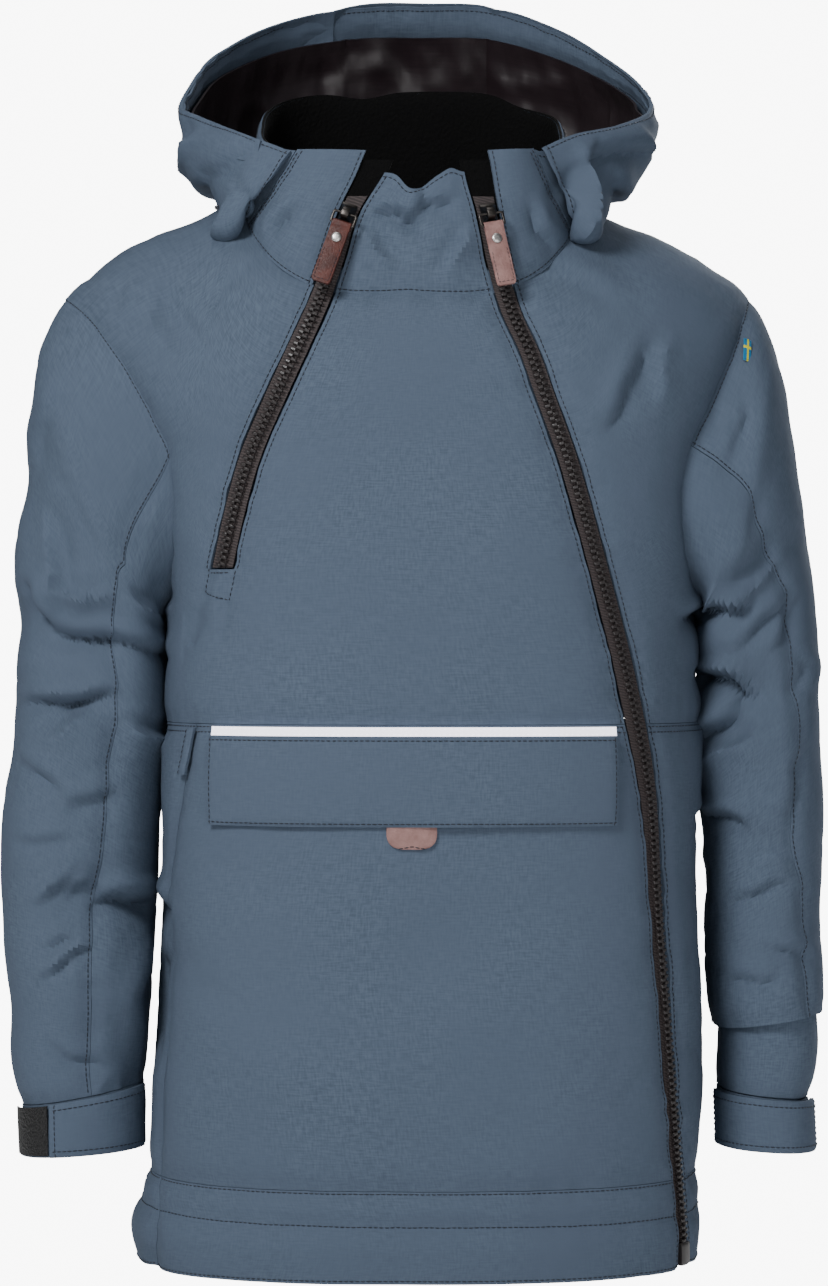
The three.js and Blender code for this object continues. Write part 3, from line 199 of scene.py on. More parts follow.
# Outer x and z, inner x and z, half depth, setting back, and angle of the front seam
SLEEVE_LEFT = table(
    (-231, -66, -157, -240, 70, 0, 121),
    (-236, -108, -157, -258, 66, 3, 114),
    (-237, -148, -157, -276, 63, 5, 111),
    (-247, -192, -156, -296, 62, 7, 118),
    (-246, -232, -157, -318, 60, 9, 118),
    (-246, -270, -158, -342, 60, 10, 112),
    (-249, -308, -159, -368, 60, 11, 113),
    (-255, -350, -160, -396, 59, 12, 112),
    (-256, -390, -162, -426, 58, 13, 108),
    (-254, -430, -164, -456, 56, 13, 106),
    (-249, -470, -166, -486, 53, 12, 105),
    (-250, -503, -167, -506, 50, 10, 105),
    (-245, -532, -167, -518, 47, 8, 104),
)
SLEEVE_RIGHT = table(
    (221, -66, 178, -240, 70, 0, 90),
    (230, -108, 179, -258, 66, 3, 84),
    (237, -150, 179, -276, 63, 5, 72),
    (244, -190, 179, -296, 61, 7, 62),
    (249, -232, 180, -318, 60, 9, 64),
    (250, -270, 181, -342, 60, 10, 58),
    (252, -310, 181, -368, 60, 11, 66),
    (254, -352, 181, -396, 59, 12, 68),
    (253, -388, 182, -426, 58, 13, 56),
    (252, -428, 183, -452, 57, 13, 54),
    (256, -474, 184, -484, 56, 12, 54),
)
SLEEVE_RIGHT_LOWER = table(
    (249.4, -462, 190.6, -470, 46.8, 12, 90),
    (250, -497, 189, -498, 46.8, 10, 90),
    (246, -527, 187, -521, 46, 8, 90),
)
CUFF_LEFT = table((-245, -532.4, -167, -518.4, 46, 8, 90), (-243, -563, -168, -557, 45, 7, 90))
CUFF_RIGHT = table((246, -528.1, 187, -522.1, 45, 8, 90), (247, -560, 188, -556, 44, 7, 90))

# Large folds: side, x, z, half length, half width, height, and the angle of their run
FOLDS = table(
    (0, -166, -262, 78, 15, 12, 90),
    (0, 184, -282, 105, 14, 13, 90),
    (0, 180, -226, 44, 12, 9, 90),
    (-1, -212, -240, 62, 15, -8, -14),
    (-1, -206, -214, 52, 14, 4, 6),
    (-1, -214, -281, 44, 13, -6, 4),
    (-1, -190, -402, 44, 16, -6, 8),
    (-1, -214, -410, 46, 14, -5, 22),
    (-1, 214, -208, 52, 14, -8, 48),
    (-1, 204, -272, 46, 16, -9, -22),
    (-1, 214, -306, 44, 14, 4, 24),
    (-1, 214, -372, 50, 16, -5, -12),
    (1, -206, -230, 60, 16, -8, 12),
    (1, -210, -320, 52, 16, -6, -10),
    (1, -206, -418, 52, 16, -6, 14),
    (1, 212, -222, 60, 16, -8, -14),
    (1, 214, -300, 50, 16, -6, 12),
    (1, 214, -400, 50, 16, -6, -10),
    (-1, -40, -130, 110, 24, -3, -28),
    (-1, 20, -430, 120, 34, -4, 10),
    (-1, -70, -500, 90, 26, 3, -20),
    (1, 0, -190, 120, 26, -5, 8),
    (1, 30, -430, 130, 30, -6, -9),
    (1, -60, -510, 90, 26, 4, 14),
)

# Finer creases with a crisp line, in the same columns
CREASES = table(
    (-1, -221, -198, 36, 6, 3, -84),
    (-1, -200, -218, 20, 5, 3, 0),
    (-1, -161, -223, 16, 5, 3, -16),
    (-1, -190, -248, 48, 6, -4.5, -8),
    (-1, -232, -225, 20, 6, -4, -60),
    (-1, -212, -282, 36, 5, -4.5, 5),
    (-1, -211, -298, 22, 7, 3, 22),
    (-1, -163, -304, 16, 5, 3, -16),
    (-1, -158, -460, 52, 8, -5, 88),
    (-1, -172, -408, 26, 8, -6, -10),
    (-1, -218, -397, 20, 4, -2.2, 37),
    (-1, -202, -398, 14, 4, -2, 22),
    (-1, -217, -429, 14, 4, -2, 10),
    (-1, -214, -444, 18, 4, -2.4, 48),
    (-1, -201, -435, 9, 3.5, -1.6, 30),
    (-1, -228, -330, 26, 6, -2, -40),
    (-1, -196, -345, 24, 6, -2, 24),
    (-1, -226, -368, 22, 5, -1.8, 12),
    (-1, -176, -37, 14, 4, -2, -76),
    (-1, 128, -96, 34, 7, -2.6, 58),
    (-1, 148, -84, 26, 7, 2.2, 74),
    (-1, -150, -60, 34, 8, 2, -62),
    (-1, -136, -52, 30, 7, -1.8, -56),
    (-1, 96, -28, 34, 8, -1.8, -34),
    (-1, -96, -30, 34, 8, -1.8, 36),
    (-1, -222, -120, 30, 7, -2, 70),
    (-1, -206, -500, 24, 6, -1.8, -18),
    (-1, 182, -228, 26, 6, -6, 14),
    (-1, 204, -214, 36, 7, 4, 36),
    (-1, 214, -234, 28, 6, -3, 48),
    (-1, 188, -272, 22, 5, -6, -25),
    (-1, 190, -294, 18, 5, -5, 60),
    (-1, 197, -308, 20, 6, 3, 30),
    (-1, 187, -355, 20, 5, -3, -13),
    (-1, 199, -272, 22, 4, -2, -43),
    (-1, 238, -265, 16, 5, -2, -78),
    (-1, 228, -235, 22, 5, -2.2, 62),
    (-1, 236, -330, 26, 6, -2, 74),
    (-1, 212, -400, 26, 6, -2.4, 20),
    (-1, 230, -436, 22, 5, -2, -24),
    (-1, 208, -452, 20, 5, -2, 12),
    (-1, 196, -120, 28, 7, -2, 80),
    (1, -200, -250, 40, 6, -4, 10),
    (1, -216, -290, 30, 5, -3, -14),
    (1, -190, -350, 26, 6, -3, 28),
    (1, -214, -390, 30, 5, -3, -8),
    (1, -200, -450, 26, 5, -2.4, 20),
    (1, 206, -210, 30, 5, -4, -30),
    (1, 200, -260, 34, 6, -4, 16),
    (1, 222, -330, 30, 5, -3, -10),
    (1, 206, -380, 28, 6, -3, 24),
    (1, 216, -440, 26, 5, -2.4, -18),
)

# Creases and lobes of the hood, in the same columns
HOOD_CREASES = table(
    (-1, -114, 60, 50, 8, 4.5, -5),
    (-1, -104, 48, 30, 6, -3.5, 21),
    (-1, -128, 22, 28, 6, -3.5, 86),
    (-1, -118, 8, 24, 7, 2.6, 60),
    (-1, -98, 18, 26, 6, -2.2, -62),
    (-1, 118, 64, 56, 9, 5, 22),
    (-1, 124, 50, 40, 6, -4.5, 20),
    (-1, 111, 26, 38, 5, -4.5, 90),
    (-1, 103, 26, 36, 7, 4, 90),
    (-1, 130, 22, 24, 6, -3.5, -68),
    (-1, 97, 8, 22, 6, 2.4, 64),
    (-1, -138, 60, 22, 6, 3, 70),
    (-1, 142, 60, 22, 6, 3, -70),
    (1, -110, 40, 50, 8, -4, 14),
    (1, -40, 60, 60, 9, -4, -8),
    (1, 46, 70, 60, 9, -4, 10),
    (1, 104, 36, 50, 8, -4, -18),
    (1, -70, 100, 40, 8, 3, 20),
    (1, 80, 110, 40, 8, 3, -24),
    (1, 6, 40, 50, 7, 3, 4),
)
HOOD_FOLDS = table(
    (-1, -116, 2, 40, 16, 5, 20),
    (-1, 110, 2, 40, 16, 5, -20),
)
# Creases of the collar's front, in the same columns
COLLAR_CREASES = table(
    (-1, -9, 6, 22, 5, -3.4, -25),
    (-1, 10, 12, 20, 5, -3.0, 17),
    (-1, 4.5, 28, 16, 5, -2.6, 97),
    (-1, -22, -12, 18, 5, 2.2, -60),
    (-1, 26, -14, 20, 5, 2.4, 66),
    (-1, -78, 6, 18, 5, -2.4, 40),
    (-1, 76, 2, 18, 5, -2.4, -48),
)

STRIP = {"left": -120, "right": 119.5, "top": -296.4, "bottom": -301.8, "thick": 0.8}
FLAP = {"left": -119.5, "right": 118.5, "top": -302.4, "bottom": -355, "thick": 3}
PULL_TAB = {"left": -16, "right": 13.5, "top": -346, "bottom": -368, "thick": 1.8, "corner": 8.5}
WELT = {"top": -298, "bottom": -326, "half": 2.2, "thick": 1.6}

TAPE_TOP = 1.5
TAPE_THICK = 1.0
ZIP_BOX_BOTTOM = -622.0
ZIP_BOX_TOP = -608.0
SLIDER = {"half": 4.8, "length": 14, "rise": 7, "lift": 0.4, "plate": 2.6, "eye": 1.5}
LINK = {"half": 6.3, "wire": 1.5, "length": 7}
LEATHER = {"half": 5.9, "length": 38, "thick": 2.4}
RIVET = {"radius": 3, "thick": 1, "down": 9}
PULL_LEAN = 9.0
SNAP = {"radius": 3.6, "thick": 1.6}
FLAG = {"width": 6, "length": 14, "thick": 0.6, "lift": 2.7, "angle": -50, "place": 0.3, "turn": 17}


# --- Tables, curves and noise --------------------------------------------------------------------


def read(rows, column, at):
    """A column of a table at a key, by a smooth curve through the rows."""
    keys, values = rows[:, 0], rows[:, column]
    x = np.clip(np.asarray(at, float), keys[0], keys[-1])
    k = np.clip(np.searchsorted(keys, x, side="left") - 1, 0, len(keys) - 2)
    count = np.arange(len(keys))
    low, high = np.maximum(count - 1, 0), np.minimum(count + 1, len(keys) - 1)
    slope = (values[high] - values[low]) / (keys[high] - keys[low])
    span = keys[k + 1] - keys[k]
    t = (x - keys[k]) / span
    return (
        values[k] * (2 * t**3 - 3 * t**2 + 1)
        + values[k + 1] * (3 * t**2 - 2 * t**3)
        + slope[k] * span * (t**3 - 2 * t**2 + t)
        + slope[k + 1] * span * (t**3 - t**2)
    )


def through(points, place):
    """A smooth curve through stacked points, at a place counted in rows of the stack."""
    last = len(points) - 1
    at = np.clip(place, 0, last)
    k = np.minimum(last - 1, np.floor(at).astype(int))
    t = (at - k)[..., None]
    grid = np.indices(k.shape)
    a, b, c, d = (points[(np.clip(k + step, 0, last), *grid)] for step in (-1, 0, 1, 2))
    return 0.5 * (
        2 * b
        + (c - a) * t
        + (2 * a - 5 * b + 4 * c - d) * t**2
        + (3 * b - a - 3 * c + d) * t**3
    )


def unit(vectors):
    return vectors / np.maximum(np.linalg.norm(vectors, axis=-1, keepdims=True), 1e-12)


RANDOM = np.random.default_rng(11).random((40, 40, 40))


def noise(points, size):
    """Smooth noise from -1 to 1 over points, with lumps of a size in millimetres."""
    scaled = points / size + 17.3
    base = np.floor(scaled).astype(int)
    part = scaled - base
    part = part * part * (3 - 2 * part)
    total = 0
    for corner in product((0, 1), repeat=3):
        weight = np.prod(np.where(corner, part, 1 - part), axis=-1)
        x, y, z = np.moveaxis((base + corner) % 40, -1, 0)
        total = total + weight * RANDOM[x, y, z]
    return 2 * total - 1


# --- The body's surface --------------------------------------------------------------------------


def squircle(angle, squareness):
    c, s = np.cos(angle), np.sin(angle)
    size = (np.abs(c) ** squareness + np.abs(s) ** squareness) ** (1 / squareness)
    return c / size, s / size


def squircle_rise(x, squareness):
    return np.maximum(0, 1 - np.abs(x) ** squareness) ** (1 / squareness)


def squircle_angle(x, squareness):
    return np.arctan2(squircle_rise(x, squareness), x)


def body_section(z):
    left, right, front, back = (read(BODY_SECTIONS, column, z) for column in (1, 2, 3, 4))
    return (left + right) / 2, (right - left) / 2, front, back


def shoulder_z(distance):
    return read(SHOULDER_LINE, 1, np.abs(distance))


def body_point(angle, rise):
    across, deep = squircle(angle, BODY_SQUARENESS)
    cap, share = squircle(np.maximum(0, rise), SHOULDER_SQUARENESS)
    z = SHOULDER_ROUND_FROM_Z + np.minimum(0, rise) * RISE_SCALE
    for _ in range(12):
        half = body_section(z)[1]
        top = shoulder_z(half * across)
        rounded = SHOULDER_ROUND_FROM_Z + (top - SHOULDER_ROUND_FROM_Z) * share
        z = np.where(rise > 0, rounded, z)
    middle, half, front, back = body_section(z)
    depth = np.where(deep < 0, front, back)
    return np.stack([middle + half * across, depth * deep * cap, z], axis=-1)


def body_place(face, x, z):
    """Angle and rise of the point of the front (-1) or back (1) that is seen at x, z."""
    middle, half = body_section(z)[:2]
    across = np.clip((x - middle) / half, -1, 1)
    angle = np.clip(squircle_angle(across, BODY_SQUARENESS), SIDE_GAP, math.pi - SIDE_GAP)
    top = shoulder_z(x - middle)
    share = (z - SHOULDER_ROUND_FROM_Z) / (top - SHOULDER_ROUND_FROM_Z)
    turn = math.pi / 2 - squircle_angle(np.clip(share, 0, 1), SHOULDER_SQUARENESS)
    turn = np.minimum(turn, math.pi / 2 - RIDGE_GAP)
    rise = np.where(share <= 0, (z - SHOULDER_ROUND_FROM_Z) / RISE_SCALE, turn)
    return face * angle, rise


# --- The collar's surface ------------------------------------------------------------------------


def collar_plan(angle, share):
    across, deep = squircle(angle, COLLAR_SQUARENESS)
    side = np.where(deep < 0, 1, 2)
    foot, top = np.array(COLLAR_FOOT), np.array(COLLAR_TOP)
    x = COLLAR_MIDDLE_X + across * (foot[0] + (top[0] - foot[0]) * share)
    return x, deep * (foot[side] + (top[side] - foot[side]) * share)


def body_top_z(x, y):
    z = np.zeros_like(x)
    for _ in range(30):
        middle, half, front, back = body_section(z)
        across = np.clip((x - middle) / half, -1, 1)
        reach = np.where(y < 0, front, back) * squircle_rise(across, BODY_SQUARENESS)
        share = squircle_rise(np.clip(np.abs(y) / reach, 0, 1), SHOULDER_SQUARENESS)
        top = shoulder_z(x - middle)
        z = SHOULDER_ROUND_FROM_Z + (top - SHOULDER_ROUND_FROM_Z) * share
    return z


NECK_ANGLES = np.linspace(-math.pi, math.pi, 2881)
NECK_HEIGHTS = body_top_z(*collar_plan(NECK_ANGLES, 0.0))


def neck_z(angle):
    return np.interp((angle + math.pi) % (2 * math.pi) - math.pi, NECK_ANGLES, NECK_HEIGHTS)


def collar_point(angle, share):
    x, y = collar_plan(angle, share)
    foot = neck_z(angle) + COLLAR_LIFT
    return np.stack([x, y, foot + (read(COLLAR_EDGE, 1, y) - foot) * share], axis=-1)


def collar_angle(line_x, share):
    """The collar's angle at a height share of a line that gives x at a height."""
    low = np.full(np.shape(share), -math.pi)
    high = np.zeros(np.shape(share))
    for _ in range(36):
        angle = (low + high) / 2
        point = collar_point(angle, share)
        before = point[..., 0] < line_x(point[..., 2])
        low, high = np.where(before, angle, low), np.where(before, high, angle)
    return (low + high) / 2


def collar_share(line_x, z):
    low, high = np.zeros(np.shape(z)), np.ones(np.shape(z))
    for _ in range(24):
        share = (low + high) / 2
        below = collar_point(collar_angle(line_x, share), share)[..., 2] < z
        low, high = np.where(below, share, low), np.where(below, high, share)
    return (low + high) / 2


# --- The hood's and the sleeves' surfaces --------------------------------------------------------


def surface(point, u, v, out=1):
    """Points and ways out of a surface at its coordinates."""
    step = 1e-3
    across = point(u + step, v) - point(u - step, v)
    along = point(u, v + step) - point(u, v - step)
    return point(u, v), out * unit(np.cross(across, along))


def body(u, v):
    return surface(body_point, u, v)


def collar(u, v):
    return surface(collar_point, u, v)


def hood_feet():
    spots, ways = collar(HOOD_RIBS[:, 6] * DEGREE, HOOD_RIBS[:, 7])
    return spots + ways * HOOD_CLEARANCE


HOOD_FEET = hood_feet()


def hood_point(round_share, share):
    rim, full = HOOD_RIBS[:, 0:3], HOOD_RIBS[:, 3:6]
    grid = (slice(None), *(None,) * np.ndim(share), slice(None))
    t = np.asarray(share)[None, ..., None]
    ribs = rim[grid] * (1 - t) ** 2 + full[grid] * 2 * t * (1 - t) + HOOD_FEET[grid] * t**2
    return through(ribs, round_share * (len(HOOD_RIBS) - 1))


def hood(u, v):
    return surface(hood_point, u, v)


def ring_points(rows, angle):
    out, deep = squircle(angle, SLEEVE_SQUARENESS)
    rings = []
    for outer_x, outer_z, inner_x, inner_z, depth, back, _ in rows:
        share = (1 + out) / 2
        x = inner_x + (outer_x - inner_x) * share
        z = inner_z + (outer_z - inner_z) * share
        rings.append(np.stack([x, back + depth * deep, z], axis=-1))
    return np.array(rings)


SIDE_COLUMN = {"left": 1, "right": 2}


def armhole_x(side, inset=0.0):
    sign = 1 if side == "left" else -1
    column = SIDE_COLUMN[side]

    def line(z):
        below = read(BODY_SECTIONS, column, z)
        above = read(ARMHOLES, column, z) + sign * inset
        return np.where(z < ARMPIT_Z, below, above)

    return line


def tip_z(side):
    z = -30.0
    for _ in range(20):
        z = float(shoulder_z(armhole_x(side)(z) - body_section(z)[0]))
    return z


def armhole_spot(side, angle):
    out = squircle(angle, SLEEVE_SQUARENESS)[0]
    z = ARMPIT_Z + (tip_z(side) - ARMPIT_Z) * (1 + out) / 2
    return body_place(np.where(np.sin(angle) < 0, -1, 1), armhole_x(side)(z), z)


def sleeve(side, rows, starts_at_body):
    def point(angle, place):
        rings = ring_points(rows, angle)
        if starts_at_body:
            first = body_point(*armhole_spot(side, angle))
            rings = np.concatenate([first[None], rings])
        return through(rings, place)

    def cloth(u, v):
        points, ways = surface(point, u, v, 1 if side == "left" else -1)
        if starts_at_body:
            body_ways = body(*armhole_spot(side, u))[1]
            share = np.clip(v, 0, 1)[..., None]
            ways = unit(body_ways * (1 - share) + ways * share)
        return points, ways

    return cloth


# --- Relief of the cloth -------------------------------------------------------------------------


def fold_sum(points, rows, crisp, factor=1.0):
    """How far folds or creases move the cloth out."""
    total = np.zeros(points.shape[:-1])
    x, y, z = np.moveaxis(points, -1, 0)
    for face, fold_x, fold_z, long, wide, high, tilt in rows:
        turn = tilt * DEGREE
        dx, dz = x - fold_x, z - fold_z
        run = (dx * math.cos(turn) + dz * math.sin(turn)) / long
        # A crease wanders a little to both sides of its line
        bend = 0.35 * np.sin(2.6 * run + fold_x) + 0.2 * np.sin(5.1 * run + fold_z) if crisp else 0
        across = (dz * math.cos(turn) - dx * math.sin(turn)) / wide + bend
        on_face = np.clip(face * y * 0.05 + 0.5, 0, 1)
        reach = np.maximum(0, 1 - run * run) ** (1.2 if crisp else 2) * on_face
        if crisp:
            # One flank is steep and the other rolls over softly, as where cloth folds on itself
            steep = np.exp(-np.abs(across) * np.where(across > 0, 2.2, 0.9))
            shape = steep - 0.55 * np.exp(-((across - 1.3) ** 2))
        else:
            shape = np.exp(-across * across)
        total += reach * high * shape * factor
    return total


def shares(rows, columns):
    """Shares of the way up and across at each corner of a grid."""
    return np.meshgrid(np.linspace(0, 1, rows + 1), np.linspace(0, 1, columns + 1), indexing="ij")


def lengths_along(line):
    """Length along a line at each of its points."""
    return np.concatenate([[0], np.cumsum(np.linalg.norm(np.diff(line, axis=0), axis=1))])


def read_along(values, length, at):
    """Values beside a line's points, read at lengths along it."""
    return np.stack([np.interp(at, length, values[:, axis]) for axis in range(3)], axis=-1)


class Seams:
    """The seams of a group of pieces, which draw the cloth in and pucker it."""

    def __init__(self):
        self.points = []
        self.ways = []

    def add(self, line):
        length = lengths_along(line)
        if length[-1] < 2:
            return
        at = np.arange(0, length[-1], 1.5)
        fine = read_along(line, length, at)
        self.points.append(fine)
        self.ways.append(unit(np.gradient(fine, axis=0)))

    def close(self):
        self.points = np.concatenate(self.points)
        self.ways = np.concatenate(self.ways)
        self.tree = kdtree.KDTree(len(self.points))
        for k, point in enumerate(self.points):
            self.tree.insert(point, k)
        self.tree.balance()

    def near(self, points):
        """Distance of each point to the seams, and the seam's point beside it."""
        flat = points.reshape(-1, 3)
        index = np.array([self.tree.find(point)[1] for point in flat])
        away = flat - self.points[index]
        ways = self.ways[index]
        slip = np.sum(away * ways, axis=-1, keepdims=True)
        distance = np.linalg.norm(away - slip * ways, axis=-1)
        beside = self.points[index] + slip * ways
        return distance.reshape(points.shape[:-1]), beside.reshape(points.shape)


def relief(points, seams, settings, folded=True, creases=CREASES, share=1.0):
    """Height of the cloth's face over the plain surface."""
    height = fold_sum(points, FOLDS, False) if folded else np.zeros(points.shape[:-1])
    if creases is not None:
        height = height + fold_sum(points, creases, True, settings.creases)
    calm = 1.0
    if seams is not None:
        distance, beside = seams.near(points)
        drawn = 1 / (1 + (distance / settings.seam_width) ** 3)
        ripple = noise(beside, 7.0) + 0.7 * noise(beside + 31, 15.0)
        puff = 1 - np.exp(-distance / 16.0)
        height = height - share * settings.seam_depth * drawn
        height = height + share * settings.pucker * ripple * np.exp(-distance / 11.0)
        height = height + share * 1.2 * puff
        calm = 1 - 0.5 * drawn
    stretch = points * np.array([0.7, 0.7, 1.0])
    waves = noise(points, 62.0) * 1.5 + noise(stretch + 57, 27.0) * 0.8
    waves = waves + 0.25 * noise(points + 90, 11.0)
    tiny = noise(stretch @ CREASE_TURN + 140, 30.0)
    where = np.clip(noise(points + 210, 70.0) * 1.6 + 0.2, 0, 1)
    waves = waves - 0.9 * where * np.exp(-np.abs(tiny) / 0.07)
    return height + share * calm * settings.waves * waves


CREASE_TURN = np.array([[0.8, 0.2, 0.4], [-0.3, 0.9, 0.1], [-0.5, -0.3, 0.9]])


# --- Grids of surface coordinates ----------------------------------------------------------------


def patch(left, right, bottom, top, columns, rows):
    """A grid of coordinates between four edge lines, each a function of a share of its length."""
    t, s = shares(rows, columns)
    corner = [np.stack(line(np.array(at, float))) for line, at in product((left, right), (0, 1))]
    low_left, high_left, low_right, high_right = (spot[:, None, None] for spot in corner)
    grid = (
        (1 - t) * np.stack(bottom(s))
        + t * np.stack(top(s))
        + (1 - s) * np.stack(left(t))
        + s * np.stack(right(t))
        - (1 - s) * (1 - t) * low_left
        - s * (1 - t) * low_right
        - (1 - s) * t * high_left
        - s * t * high_right
    )
    return grid[0], grid[1]


def side_by_side(*grids):
    """Grids joined along the columns that they share."""
    parts = [grids[0]] + [(u[:, 1:], v[:, 1:]) for u, v in grids[1:]]
    return tuple(np.concatenate([part[axis] for part in parts], axis=1) for axis in (0, 1))


def between(a, b):
    return lambda s: (a[0] + (b[0] - a[0]) * s, a[1] + (b[1] - a[1]) * s)


def up_line(face, line_x, stops):
    heights = np.array(stops, float)

    def line(t):
        z = np.interp(t, heights[:, 0], heights[:, 1])
        return body_place(face, line_x(z), z)

    return line


def zip_line(rows, share, shift=0.0):
    return lambda z: read(rows, 1, z) + share * read(rows, 2, z) + shift


def on_shoulder(face, x):
    z = np.zeros_like(x)
    for _ in range(12):
        z = shoulder_z(x - body_section(z)[0])
    return body_place(face, x, z)[0], np.full(np.shape(x), math.pi / 2 - RIDGE_GAP)


def neck_spot(face, angle):
    x, y = collar_plan(angle, 0.0)
    flat = body_place(face, x, neck_z(angle) - SEAM_GAP / 2)
    ridge = on_shoulder(face, x)
    return tuple(np.where(np.abs(y) < 1, ridge[axis], flat[axis]) for axis in (0, 1))


UPPER_ROWS = 12
ZIP_END_SHARE = 4 / UPPER_ROWS
HALF = SEAM_GAP / 2
NECK_LEFT_X = COLLAR_MIDDLE_X - COLLAR_FOOT[0]
NECK_RIGHT_X = COLLAR_MIDDLE_X + COLLAR_FOOT[0]


def foot_angle(line_x):
    return float(collar_angle(line_x, np.array(0.0)))


def zip_stops(line_x):
    top = float(neck_z(foot_angle(line_x))) - HALF
    return [[0, CHEST_SEAM_Z + HALF], [ZIP_END_SHARE, SHORT_ZIP_END_Z], [1, top]]


def arm_stops(side):
    return [[0, CHEST_SEAM_Z + HALF], [3 / UPPER_ROWS, ARMPIT_Z], [1, tip_z(side)]]


def joined_tops(first, share, second):
    def top(s):
        before = first(np.clip(s / share, 0, 1))
        after = second(np.clip((s - share) / (1 - share), 0, 1))
        return tuple(np.where(s < share, before[axis], after[axis]) for axis in (0, 1))

    return top


def shoulder_grid(face, side, line, angle, columns, rows):
    """The upper body from an armhole to a line that starts at an angle of the neck."""
    inset = ARMHOLE_INSET[side]
    tip_x = float(armhole_x(side, inset)(tip_z(side)))
    arm = up_line(face, armhole_x(side, inset), arm_stops(side))
    start = face * math.pi if side == "left" else 0.0
    neck_columns = max(1, round(abs(angle - start) / (math.pi / 12)))
    share = 4 / (4 + neck_columns)
    if side == "left":
        shoulder = lambda s: on_shoulder(face, tip_x + (NECK_LEFT_X - tip_x) * s)
        neck = lambda s: neck_spot(face, start + (angle - start) * s)
        top = joined_tops(shoulder, share, neck)
        left, right = arm, line
    else:
        neck = lambda s: neck_spot(face, angle + (start - angle) * s)
        shoulder = lambda s: on_shoulder(face, NECK_RIGHT_X + (tip_x - NECK_RIGHT_X) * s)
        top = joined_tops(neck, 1 - share, shoulder)
        left, right = line, arm
    bottom = between(*(tuple(map(float, edge(np.array(0.0)))) for edge in (left, right)))
    return patch(left, right, bottom, top, columns, rows)


def zip_side(face, zip_rows, share, shift):
    line_x = zip_line(zip_rows, share, shift)
    return up_line(face, line_x, zip_stops(zip_line(zip_rows, share)))


def plain_top(face, first, last):
    return lambda s: neck_spot(face, first + (last - first) * s)


def front_grids(cell):
    """Coordinates of the front's upper main piece in three parts, and of its side piece."""
    rows = 3 * round(310 / cell / 3)
    short_left, short_right = zip_line(SHORT_ZIP, -1), zip_line(SHORT_ZIP, 1)
    long_left, long_right = zip_line(LONG_ZIP, -1), zip_line(LONG_ZIP, 1)
    left_edge = zip_side(-1, SHORT_ZIP, -1, -HALF)
    right_edge = zip_side(-1, SHORT_ZIP, 1, HALF)
    last_edge = zip_side(-1, LONG_ZIP, -1, -HALF)

    def part(left, right, top, columns):
        low = [tuple(map(float, edge(np.array(0.0)))) for edge in (left, right)]
        return patch(left, right, between(*low), top, columns, rows)

    angles = [foot_angle(line) for line in (short_left, short_right, long_left, long_right)]
    shoulder = shoulder_grid(-1, "left", left_edge, angles[0], round(130 / cell), rows)
    ends = [tuple(map(float, neck_spot(-1, np.array(angle)))) for angle in angles[:2]]
    slot = part(left_edge, right_edge, between(*ends), round(16 / cell))
    centre = part(right_edge, last_edge, plain_top(-1, angles[1], angles[2]), round(200 / cell))
    side_line = zip_side(-1, LONG_ZIP, 1, HALF)
    side = shoulder_grid(-1, "right", side_line, angles[3], round(120 / cell), rows)
    return shoulder, slot, centre, side, rows


def back_grid(cell):
    right = up_line(1, armhole_x("right", ARMHOLE_INSET["right"]), arm_stops("right"))
    left = up_line(1, armhole_x("left", ARMHOLE_INSET["left"]), arm_stops("left"))
    tips = {
        side: float(armhole_x(side, ARMHOLE_INSET[side])(tip_z(side))) for side in ("left", "right")
    }

    def top(s):
        place = s * 20
        way = np.clip(place / 4, 0, 1)
        first = on_shoulder(1, tips["right"] + (NECK_RIGHT_X - tips["right"]) * way)
        end = np.clip((place - 16) / 4, 0, 1)
        last = on_shoulder(1, NECK_LEFT_X + (tips["left"] - NECK_LEFT_X) * end)
        neck = neck_spot(1, math.pi * np.clip((place - 4) / 12, 0, 1))
        return tuple(
            np.where(place <= 4, first[axis], np.where(place >= 16, last[axis], neck[axis]))
            for axis in (0, 1)
        )

    low = [tuple(map(float, edge(np.array(0.0)))) for edge in (right, left)]
    return patch(right, left, between(*low), top, round(380 / cell), round(310 / cell))


def band_grid(first, last, bottom, top, columns, rows):
    """Coordinates of a band of the lower body between two lines, each an angle at a height."""
    t, s = shares(rows, columns)
    z = bottom + (top - bottom) * t
    start, end = first(z), last(z)
    return start + (end - start) * s, (z - SHOULDER_ROUND_FROM_Z) / RISE_SCALE


def angle_at(line_x):
    return lambda z: body_place(-1, line_x(z), z)[0]


def box_grid(u_range, v_range, columns, rows):
    return tuple(
        np.meshgrid(np.linspace(*u_range, columns + 1), np.linspace(*v_range, rows + 1), indexing="xy")
    )


# --- Meshes --------------------------------------------------------------------------------------


